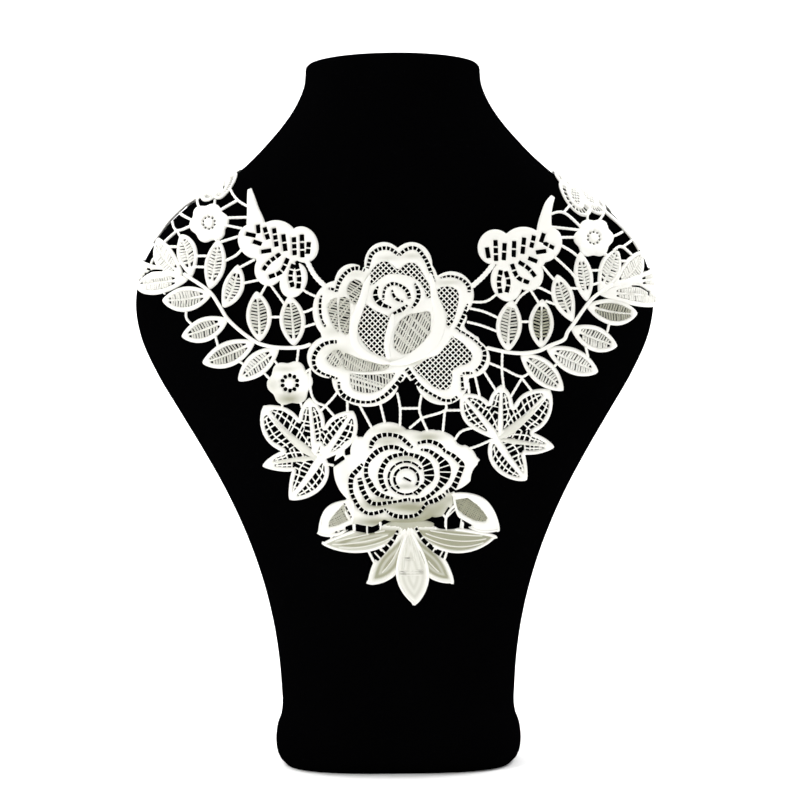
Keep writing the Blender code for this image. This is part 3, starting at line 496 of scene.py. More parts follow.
def shadePatches(*rows):
    # Painted shade in soft patches: x, z, half width, half height, strength
    spots = np.array(rows, float)
    centres = place(spots)

    def tone(points):
        offset = (points[:, None, :2] - centres[None]) / spots[None, :, 2:4]
        return np.clip((np.exp(-np.sum(offset ** 2, axis=2)) * spots[None, :, 4]).sum(axis=1), 0.0, 1.0)
    return tone


def along(angle):
    # Stitches that run at an angle to the x axis
    lean = math.radians(angle)
    sine, cosine = math.sin(lean), math.cos(lean)
    return lambda p: (-p[:, 0] * sine + p[:, 1] * cosine, p[:, 0] * cosine + p[:, 1] * sine)


def radial(x, z, scale=14.0):
    # Stitches that run out from a place
    cx, cz = place([(x, z)])[0]
    return lambda p: (np.arctan2(p[:, 1] - cz, p[:, 0] - cx) * scale, np.hypot(p[:, 0] - cx, p[:, 1] - cz))


def slot(points, gap, step=1.2, closed=False):
    # A narrow opening along a line of seen places; a third number is its own width there
    rows = np.array([(*p, gap)[:3] for p in points], float)
    line = smoothLine(placeRows(rows), step, closed)
    half = sideways(line) * line[:, 2:] / 2
    left, right = line[:, :2] + half, line[:, :2] - half
    return {"left": left, "right": right, "shape": np.vstack([left, right[::-1]])}


def rungs(lace, slots, pitch=2.0, width=0.75, shade=0.0, inner=False):
    for one in slots:
        out = (one["left"] - one["right"]) * 0.15
        ladder(lace, one["left"] + out, one["right"] - out, pitch, width, shade=shade, inner=inner)


def region(*points):
    return place(evenLine(np.array(points + points[:1], float), 3.0)[:-1])


def ellipseShape(row):
    return place(ellipse(*row, step=1.2)[:-1])


def bride(lace, points, width=None, lift=0.15):
    # A twisted cord between motifs, from edge to edge
    width = width or brides["width"]
    line = evenLine(smoothLine(place(points), 0.5), 0.5)
    show = np.ones(len(line), bool)
    for shape in closeTo(collarShapes, [line]):
        within = inside(line, shape)
        if within.any():
            deep = nearest(line, *edgesOf([shape]))[0] > brides["root"]
            show &= ~(within & deep)
    for run in shownRuns(line, covers=(), chosen=show):
        steps = np.arange(len(run)) * 0.5
        widths = width * (1.0 + brides["twist"] * np.sin(2 * math.pi * steps / brides["turn"]))
        run = softEnds(np.column_stack([run, widths]))
        stroke(lace, run, run[:, 2], brides["thick"], lift, 8, taper=0.4)


brides = {"width": 1.3, "thick": 1.15, "twist": 0.1, "turn": 2.1, "thickWidth": 2.5, "root": 0.8}


# Leaves
def leafLine(row, t):
    # Points along a leaf, the way to its left and half its width there
    base, tip = place([row[:2], row[2:4]])
    width, bend, fullest = row[4:7]
    axis = tip - base
    side = np.array([-axis[1], axis[0]]) / np.linalg.norm(axis)
    middle = (base + tip) / 2 + side * bend * 2
    t = t[:, None]
    points = base * (1 - t) ** 2 + middle * 2 * t * (1 - t) + tip * t ** 2
    way = (middle - base) * (1 - t) + (tip - middle) * t
    way /= np.linalg.norm(way, axis=1)[:, None]
    warp = math.log(0.5) / math.log(fullest)
    half = width / 2 * np.sin(math.pi * np.clip(t[:, 0], 0, 1) ** warp) ** leafForm["fullness"]
    turn = math.degrees(math.atan2(axis[1], axis[0]))
    return points, np.stack([-way[:, 1], way[:, 0]], axis=-1), half, turn


leafForm = {"fullness": 0.75, "steps": 26}


def leafShape(row, rim, rib):
    # The outline of a leaf and the two openings between its rim and its midrib
    t = np.linspace(0.0, 1.0, leafForm["steps"] + 1)
    points, left, half, turn = leafLine(row, t)
    outline = np.vstack([points + left * half[:, None], (points - left * half[:, None])[-2:0:-1]])
    ribHalf = rib / 2 * (1.0 - 0.55 * t)
    show = (half - rim - ribHalf > 0.45) & (t > 0.06)
    halves = []
    for side in (1, -1):
        outer = (points + side * left * (half - rim)[:, None])[show]
        inner = (points + side * left * ribHalf[:, None])[show]
        if len(outer) > 2:
            halves.append(np.vstack([outer, inner[::-1]]))
    return {"outline": outline, "halves": halves, "turn": turn, "mid": points, "half": half, "left": left}


def crossThreads(lace, leaf, gaps, pitch, covers=(), slant=90.0, shade=0.0, lift=0.2):
    # The open halves of a leaf, closed again by threads that run from rim to midrib
    for side, (shape, gap) in enumerate(zip(leaf["halves"], gaps)):
        netFill(lace, [shape], leaf["turn"] + (slant if side == 0 else -slant), pitch, pitch - gap, covers, lift=lift,
                shade=shade, thick=0.8, loose=0.25)


def sprayLeaf(lace, row, gaps):
    rim, rib = spray["rim"], spray["rib"]
    leaf = leafShape(row[:7], rim, rib)
    dark = row[9]
    # painted shade in the middle of the leaf and on its cross threads
    pad(lace, [leaf["outline"]], leaf["halves"] + gaps, cell=0.7, turn=leaf["turn"], grain=along(leaf["turn"] + 80),
        slope=1.5, shade=shadePatches((*(np.array(row[:2]) * 0.45 + np.array(row[2:4]) * 0.55), 5.0, 5.0, dark * 0.4)))
    crossThreads(lace, leaf, row[7:9], spray["pitch"], gaps, slant=spray["slant"], shade=dark)


spray = {
    "rim": 2.3, "rib": 1.6, "pitch": 1.55, "slant": 76.0, "stemWidth": 1.85, "hemWidth": 2.2,
    "hemLeft": ((-103.0, 292.6), (-110.8, 287.2), (-117.6, 281.5), (-123.2, 275.7), (-127.8, 269.2)),
    "hemRight": ((104.0, 288.2), (111.0, 282.0), (117.6, 276.0), (123.1, 269.4), (127.0, 263.0)),
    "gapsLeft": (((-134.6, 249.4, 0.9), (-131.2, 252.6, 1.1), (-127.6, 254.6, 1.3), (-120.4, 254.6, 0.8)),
                 ((-130.8, 261.0, 0.9), (-129.4, 262.6, 1.2), (-128.8, 264.8, 0.9))),
    "gapsRight": (((122.8, 244.4, 0.7), (127.6, 243.8, 1.1), (132.4, 240.4, 1.1)), ((117.0, 262.6, 0.5), (113.6, 263.8, 0.9), (110.0, 261.4, 0.9))),

    # base x, z, tip x, z, width, bend to its left, fullest; gaps between threads left and right; painted shade
    "leavesLeft": (
        (-112.0, 252.5, -140.0, 259.0, 10.5, 0.0, 0.5, 0.15, 0.3, 0.1),
        (-111.5, 252.5, -124.5, 272.0, 12.5, 1.5, 0.5, 0.2, 0.2, 0.1),
        (-107.2, 250.5, -112.6, 273.5, 12.0, -1.8, 0.55, 0.3, 0.4, 0.1),
        (-97.6, 244.5, -92.6, 271.0, 11.5, -0.8, 0.5, 0.25, 0.45, 0.1),
        (-90.8, 235.0, -82.6, 257.5, 11.0, -1.8, 0.5, 0.25, 0.6, 0.1),
        (-108.5, 250.2, -136.0, 246.7, 11.5, 0.5, 0.5, 0.15, 0.3, 0.1),
        (-96.5, 242.2, -122.5, 239.0, 12.5, 1.0, 0.5, 0.4, 0.15, 0.2),
        (-88.0, 229.0, -112.5, 220.0, 12.0, 1.0, 0.5, 0.5, 0.5, 0.3),
        (-74.0, 217.2, -101.8, 206.0, 12.5, 1.0, 0.5, 0.4, 0.6, 0.4),
        (-61.5, 213.5, -83.0, 196.5, 11.5, -0.4, 0.5, 0.5, 0.2, 0.1),
        (-71.6, 217.0, -73.0, 243.5, 13.0, -0.5, 0.5, 0.4, 0.6, 0.4),
        (-53.6, 214.5, -55.8, 241.0, 13.0, -0.4, 0.5, 0.4, 0.6, 0.4),
    ),
    "leavesRight": (
        (112.5, 245.0, 140.0, 253.0, 10.5, 0.0, 0.5, 0.4, 0.15, 0.1),
        (112.0, 244.0, 128.0, 262.5, 13.5, -2.0, 0.55, 0.2, 0.2, 0.1),
        (105.5, 241.0, 115.5, 264.5, 12.5, -0.5, 0.55, 0.3, 0.2, 0.1),
        (99.5, 236.5, 96.0, 262.5, 10.5, 0.0, 0.5, 0.45, 0.15, 0.1),
        (92.5, 225.5, 84.0, 250.8, 11.5, 1.0, 0.55, 0.4, 0.4, 0.2),
        (105.5, 240.5, 135.5, 235.3, 11.5, 1.4, 0.5, 0.2, 0.15, 0.1),
        (99.0, 234.7, 126.0, 230.0, 13.0, -1.6, 0.5, 0.5, 0.55, 0.8),
        (91.0, 223.0, 115.2, 212.8, 12.2, -1.0, 0.5, 0.55, 0.3, 0.2),
        (78.2, 212.2, 105.2, 199.4, 12.5, -0.6, 0.5, 0.35, 0.3, 0.1),
        (64.6, 209.2, 86.9, 190.0, 12.4, 0.2, 0.5, 0.35, 0.55, 0.2),
        (75.4, 212.2, 76.2, 238.0, 13.0, 0.3, 0.5, 0.6, 0.45, 0.9),
        (58.0, 210.6, 60.4, 237.8, 13.0, 0.5, 0.5, 0.3, 0.55, 0.4),
    ),
    "stemLeft": (
        (-111, 253), (-98, 243.9), (-92.3, 236), (-88.4, 229.5), (-82.3, 223.4), (-74.3, 217.4), (-68, 214.9),
        (-60, 213.7), (-50, 213.9), (-44.5, 215.6),
    ),
    "stemRight": (
        (113, 245.5), (104, 239.5), (99, 234.3), (92.6, 225.4), (89, 220.5), (87, 216.6), (80, 213.7),
        (74, 210.9), (66, 209.8), (58, 210.3), (49, 212.3), (46.5, 213),
    ),
    "barsLeft": (
        ((-80.5, 272.5), (-92, 269)), ((-95, 275), (-93, 268)), ((-79, 267), (-83, 262.5), (-89, 259.3)),
        ((-73.5, 260), (-83, 255)), ((-69.6, 249.6), (-80, 247.5)), ((-67, 248), (-71.5, 240)),
        ((-66.5, 248), (-58, 236)), ((-69, 229.8), (-58, 229.8)), ((-109, 237), (-109.5, 229.5), (-104, 224)),
        ((-95, 222), (-92.5, 212)), ((-86, 209.5), (-76, 202.5)), ((-108, 262), (-96, 262)),
        ((-107, 256.5), (-96, 256)), ((-120, 267), (-111, 267)), ((-118.5, 258), (-110, 258)),
        ((-116.6, 280.4), (-114, 275.5), (-105, 278.5)), ((-114, 275.5), (-111, 269)),
        ((-114, 275.5), (-122, 268.5)), ((-122, 250), (-121, 242)), ((-128, 256), (-127, 250)),
        ((-128, 258), (-124, 266)), ((-66, 210), (-60, 202)), ((-72, 203.5), (-64.5, 195.5)),
        ((-51, 215), (-52.5, 203)), ((-57, 232.5), (-48, 232.3), (-41, 235.3)),
        ((-57, 224.5), (-50, 224.2), (-39, 227.2)),
    ),
    "barsRight": (
        ((60, 226.2), (75, 226.2)), ((72, 244), (75.5, 243.5), (84, 239)), ((69.5, 243.5), (76, 233)),
        ((61, 234), (64.3, 239), (69.5, 243)), ((84, 246), (80, 250.5), (75.5, 256)),
        ((77.6, 237), (87, 233.5)), ((94, 248), (90.5, 252.5), (82.5, 260)), ((96, 259), (91, 263), (84, 267)),
        ((90, 243.5), (97, 243.2)), ((98, 252.5), (109, 252.8)), ((100, 244.5), (107, 246.5)),
        ((113, 257.5), (124, 257.2)), ((113, 251), (124, 250.5)), ((112, 262), (117.5, 265), (124.5, 259)),
        ((118, 264.8), (123.0, 268.4)), ((114, 260), (106, 261.5)), ((112, 230), (109.5, 219)),
        ((97, 219), (100, 206)), ((80, 201), (87, 207)), ((52.4, 221), (57.5, 221.6)),
        ((130, 252), (129, 240)), ((55, 211), (54.8, 200), (56, 189)),
        ((44, 206.5), (55, 202), (64.6, 197.6), (70.5, 200.6)), ((64.5, 197.5), (71, 189)),
        ((65.5, 197.5), (58.5, 186)), ((38, 233.5), (46, 231.5), (56, 226.8)),
        ((34, 227), (44, 224.5), (56, 219.8)),
    ),
}


def makeSpray(side):
    lace = startLace()
    gaps = [slot(one, 1.0)["shape"] for one in spray["gaps" + side]]
    for row in spray["leaves" + side]:
        sprayLeaf(lace, row, gaps)
    for line in spray["bars" + side]:
        bride(lace, line)
    line = smoothLine(place(spray["stem" + side]), 0.8)
    satin(lace, softEnds(line), spray["stemWidth"], lift=0.25)
    satin(lace, softEnds(smoothLine(place(spray["hem" + side]), 0.8)), spray["hemWidth"])
    return lace


# Lobed palm leaves
palm = {
    "rim": 1.9, "rib": 0.24, "netPitch": 2.7, "netWidth": 0.78, "slant": 74.0, "ribShade": 0.35,
    "leavesLeft": (
        (-39.5, 158.0, -57.0, 134.5, 18.0, 1.2, 0.42), (-42.0, 156.0, -71.0, 152.0, 11.0, -0.8, 0.45),
        (-41.5, 156.0, -70.0, 183.5, 20.0, 2.0, 0.62), (-41.5, 154.0, -23.0, 180.5, 16.0, -0.5, 0.6),
        (-43.0, 156.0, -46.0, 187.5, 13.0, 0.0, 0.6),
    ),
    "leavesRight": (
        (50.5, 167.0, 67.5, 143.5, 18.0, -1.2, 0.42), (52.0, 165.0, 82.0, 160.5, 11.5, 0.0, 0.45),
        (51.5, 165.0, 80.0, 190.5, 19.5, -2.0, 0.62), (53.5, 163.5, 33.5, 188.5, 15.5, -0.5, 0.6),
        (53.5, 166.0, 54.5, 193.5, 12.5, 0.0, 0.6),
    ),
    "barsLeft": (
        ((-26, 187), (-26, 174)), ((-45.5, 203), (-45, 191), (-42.5, 185.5), (-37.5, 183.2)),
        ((-37.5, 183.2), (-33, 188), (-28, 195)), ((-37.5, 183.2), (-30, 174.5)),
        ((-37.5, 183.2), (-43.5, 177)), ((-26, 172), (-18, 163)), ((-30, 160), (-22, 153)),
        ((-42, 154), (-28, 151)),
    ),
    "barsRight": (
        ((24.8, 180.4), (38, 180.4)), ((29, 163.5), (33.5, 169.4), (44, 172)),
        ((28.5, 160.5), (38, 160.5), (51, 165.5)), ((40, 201), (43.8, 184)), ((44, 202.5), (53, 188)),
        ((37, 195), (38, 185)),
    ),
}


def openHalf(leaf, side, rib, edges):
    # Opens half a lobe out to the rim of the whole leaf, so that the lobes share one net
    shares = np.linspace(0.05, 1.0, 20)
    reach = leaf["half"][:, None] * shares
    spots = leaf["mid"][:, None, :] + side * leaf["left"][:, None, :] * reach[..., None]
    clear = nearest(spots.reshape(-1, 2), *edges)[0].reshape(reach.shape) > palm["rim"]
    last = np.cumprod(clear, axis=1).sum(axis=1)
    width = np.where(last > 0, leaf["half"] * shares[np.maximum(last - 1, 0)], 0.0)
    ribHalf = rib / 2 * (1.0 - 0.55 * np.linspace(0.0, 1.0, len(width)))
    show = (width - ribHalf > 0.45) & (np.arange(len(width)) > 0.06 * len(width))
    outer = (leaf["mid"] + side * leaf["left"] * width[:, None])[show]
    inner = (leaf["mid"] + side * leaf["left"] * ribHalf[:, None])[show]
    return np.vstack([outer, inner[::-1]]), width


def makePalm(side):
    lace = startLace()
    leaves = [leafShape(row, palm["rim"], palm["rib"] * row[4]) for row in palm["leaves" + side]]
    outlines = [leaf["outline"] for leaf in leaves]
    edges = realEdges(outlines, ())
    halves = [openHalf(leaf, way, palm["rib"] * row[4], edges)
              for leaf, row in zip(leaves, palm["leaves" + side]) for way in (1, -1)]
    opened = [one[0] for one in halves]
    pad(lace, outlines, opened, cell=0.7, grain=along(45), slope=1.0)
    t = np.linspace(0.0, 1.0, len(leaves[0]["mid"]))
    for i, (leaf, row) in enumerate(zip(leaves, palm["leaves" + side])):
        half = palm["rib"] * row[4] / 2 * np.clip(np.minimum(0.45 + t * 2, 1.2 - 1.1 * t), 0.12, 1.0)
        show = t < 0.9
        edge = leaf["left"] * half[:, None]
        rib = np.vstack([(leaf["mid"] + edge)[show], (leaf["mid"] - edge)[show][::-1]])
        # the midribs of the second and third leaves carry painted shade
        pad(lace, [rib], cell=0.7, turn=leaf["turn"], lift=0.3, grain=along(leaf["turn"] + 70), slope=1.4,
            shade=palm["ribShade"] if i in (1, 2) else 0.0)
        for k in (2 * i, 2 * i + 1):
            way = 1 - 2 * (k % 2)
            shape, width = halves[k]
            netFill(lace, [shape], leaf["turn"] + way * palm["slant"], palm["netPitch"], palm["netWidth"], opened[:k],
                    lift=0.15, thick=0.7, loose=0.45)
            middle = leaf["mid"] + way * leaf["left"] * (half + (width - half) * 0.58)[:, None]
            for run in shownRuns(evenLine(middle[width > half + 0.4], 0.8), [shape], opened[:k]):
                stroke(lace, run, palm["netWidth"], 0.7, 0.15, 6)
    for line in palm["bars" + side]:
        bride(lace, line)
    return lace


# Daisies
daisies = {
    "daisyUpperLeft": (-97.5, 279.4, 10.4, 6, 10.0),
    "daisyUpperRight": (103.3, 269.8, 10.4, 6, 0.0),
    "daisyLowerLeft": (-56.0, 195.3, 12.0, 6, 5.0),
    "barsUpperLeft": (
        ((-76, 282), (-93, 281.6)), ((-77, 275.5), (-92, 278.6)), ((-76, 287), (-82.3, 291), (-86.4, 297.4)),
        ((-82.3, 291), (-93, 285)), ((-100.6, 284.6), (-103.4, 292)), ((-102, 279), (-112.6, 284.6)),
        ((-94.3, 286), (-94.2, 291.6)),
    ),
    "barsUpperRight": (
        ((98, 274), (87.5, 283), (78.5, 281.5)), ((87.5, 283), (91, 287)), ((98, 273.5), (79.5, 275.7)),
        ((98, 270), (80, 270)), ((107, 270), (113, 270.4), (118.4, 272.8)), ((99.5, 274), (100, 284)),
        ((104, 276.4), (108.6, 282.6)),
    ),
    "barsLowerLeft": (
        ((-60, 190), (-60, 178)), ((-52, 190), (-48.5, 179)), ((-51, 199), (-41, 205)),
    ),
    "lobeDepth": 0.13, "eyeCell": 0.5,
    "eyes": {"daisyUpperLeft": (3.1, 0.6), "daisyUpperRight": (3.1, 0.6), "daisyLowerLeft": (4.0, 1.12)},  # ring, hole
    # painted shade on the petals: x, z, half width, half height, strength
    "paintedShade": (
        (-65.0, 194.0, 3.5, 4.0, 0.4), (-56.0, 187.0, 7.0, 2.8, 0.9), (-58.0, 202.6, 6.0, 1.4, 0.45), (-97.0, 281.0, 5.0, 5.0, 0.1),
    ),
}


def daisyShape(name):
    x, z, radius, lobes, turn = daisies[name]
    t = np.linspace(0.0, 2 * math.pi, lobes * 14, endpoint=False)
    reach = radius * (1.0 - daisies["lobeDepth"] * (0.5 - 0.5 * np.cos(lobes * t)) ** 1.5)
    lean = t + math.radians(turn)
    return place(np.stack([x + reach * np.cos(lean), z + reach * np.sin(lean)], axis=-1))


def makeDaisy(name):
    lace = startLace()
    x, z, radius, lobes, turn = daisies[name]
    outline = daisyShape(name)
    ringRadius, hole = daisies["eyes"][name]
    cuts = []
    for k in range(10):
        way = 2 * math.pi * (k + 0.5) / 10
        cuts.append(place(ellipse(x + ringRadius * math.cos(way), z + ringRadius * math.sin(way), hole * 1.05,
                                  hole * 0.95, math.degrees(way), step=0.4)[:-1]))
    pad(lace, [outline], cuts, cell=daisies["eyeCell"], grain=radial(x, z, radius * 0.7), slope=1.3,
        shade=shadePatches(*daisies["paintedShade"]))
    for k in range(lobes):      # the satin of each petal stands a little proud
        way = 2 * math.pi * k / lobes + math.radians(turn)
        near, far = ringRadius + hole + 1.0, radius * 0.93
        centre = (near + far) / 2
        pad(lace, [place(ellipse(x + centre * math.cos(way), z + centre * math.sin(way), (far - near) / 2,
                                 radius * 0.4, math.degrees(way), step=0.8)[:-1])], cell=0.6, lift=0.25,
            grain=radial(x, z, radius * 0.7), slope=2.6, shade=shadePatches(*daisies["paintedShade"]))
    pad(lace, [place(ellipse(x, z, ringRadius - hole - 0.15, ringRadius - hole - 0.15, 0.0, step=0.5)[:-1])],
        cell=0.45, lift=0.35, grain=along(30), slope=1.6)
    for line in daisies["bars" + name[5:]]:
        bride(lace, line)
    return lace


# Lilies beside the neck
lily = {
    "holeGap": 2.3, "rungWidth": 0.85, "pitch": 3.0,
    "lobesLeft": (
        (-48.5, 267.6, 8.0, 9.6, 20.0), (-53.5, 249.0, 7.0, 9.4, -20.0), (-66.5, 254.5, 7.4, 8.4, 0.0),
        (-74.0, 269.5, 8.2, 9.4, 30.0), (-62.5, 267.0, 12.6, 13.4, 0.0),
    ),
    "lobesRight": (
        (51.5, 265.4, 8.8, 9.2, -20.0), (57.5, 247.2, 8.0, 10.4, 15.0), (69.5, 250.8, 7.4, 8.6, 0.0),
        (78.5, 266.4, 7.8, 9.6, -30.0), (66.5, 263.0, 12.8, 12.8, 0.0),
    ),
    "neckLeft": (
        (-72.2, 271, 10), (-73.2, 279, 9.6), (-74.5, 286, 6.4), (-75.5, 292, 4.4), (-76.2, 297, 2.2),
    ),
    "neckRight": (
        (77, 270, 8), (77.8, 277, 7.2), (78.8, 283, 5.4), (80.3, 288, 4.2), (82.3, 291.7, 2.2),
    ),
    "thickLeft": (
        ((-47, 260), (-42, 250.8), (-34, 243)),
    ),
    "thickRight": (
        ((52, 258), (45.3, 250), (36, 242)),
    ),
    "barsLeft": (
        ((-50, 246), (-47, 242.8), (-39, 239)),
    ),
    "barsRight": (
        ((54, 242), (46.5, 237), (36, 237)),
    ),
    # rows of holes: places along each row
    "rowsLeft": (
        ((-72.0, 278.4), (-71.6, 273.6)), ((-68.6, 277.0), (-66.6, 270.4)), ((-63.6, 276.4), (-62.2, 266.6)),
        ((-58.8, 273.2), (-57.6, 264.2)), ((-53.2, 271.6), (-52.8, 262.0)), ((-49.0, 273.0), (-48.8, 260.8)),
        ((-45.4, 269.0), (-46.0, 262.6)), ((-78.4, 273.6), (-73.0, 272.4)), ((-74.6, 269.6), (-70.0, 268.0)),
        ((-70.4, 264.0), (-65.0, 264.8)), ((-69.4, 254.4), (-66.4, 258.4), (-60.4, 263.0)),
        ((-66.4, 250.8), (-60.0, 253.6), (-56.4, 260.6)), ((-54.0, 245.4), (-55.2, 251.0), (-53.6, 257.6)),
        ((-51.2, 244.6), (-50.6, 250.6), (-52.0, 257.6)),
    ),
    "rowsRight": (
        ((77.4, 272.6), (75.6, 267.6)), ((72.2, 271.4), (70.6, 264.8)), ((67.0, 270.4), (66.0, 261.6)),
        ((61.8, 268.6), (61.4, 260.0)), ((56.8, 267.6), (56.2, 258.4)), ((52.0, 269.2), (52.2, 258.0)),
        ((47.4, 265.4), (48.4, 259.6)), ((82.6, 264.6), (77.0, 267.6)), ((78.6, 263.2), (73.0, 262.4)),
        ((73.8, 257.6), (69.0, 259.6)), ((72.6, 249.8), (69.0, 254.2), (64.0, 257.6)),
        ((69.4, 246.6), (63.4, 249.6), (60.4, 256.6)), ((57.6, 241.6), (58.6, 247.0), (57.2, 252.8)),
        ((54.4, 241.2), (53.6, 247.4), (54.8, 253.4)),
    ),
}


def neckShape(rows):
    rows = smoothLine(placeRows(rows), 1.5)
    half = sideways(rows) * rows[:, 2:] / 2
    return np.vstack([rows[:, :2] + half, (rows[:, :2] - half)[::-1]])


def makeLily(side):
    lace = startLace()
    holes = [slot(row, lily["holeGap"], 1.0) for row in lily["rows" + side]]
    shapes = [ellipseShape(row) for row in lily["lobes" + side]] + [neckShape(lily["neck" + side])]
    x, z = lily["lobes" + side][-1][:2]
    pad(lace, shapes, [hole["shape"] for hole in holes], cell=0.6, grain=radial(x, z, 12.0), slope=1.0)
    rungs(lace, holes, lily["pitch"], lily["rungWidth"], inner=True)
    for line in lily["thick" + side]:
        bride(lace, line, brides["thickWidth"])
    for line in lily["bars" + side]:
        bride(lace, line)
    return lace


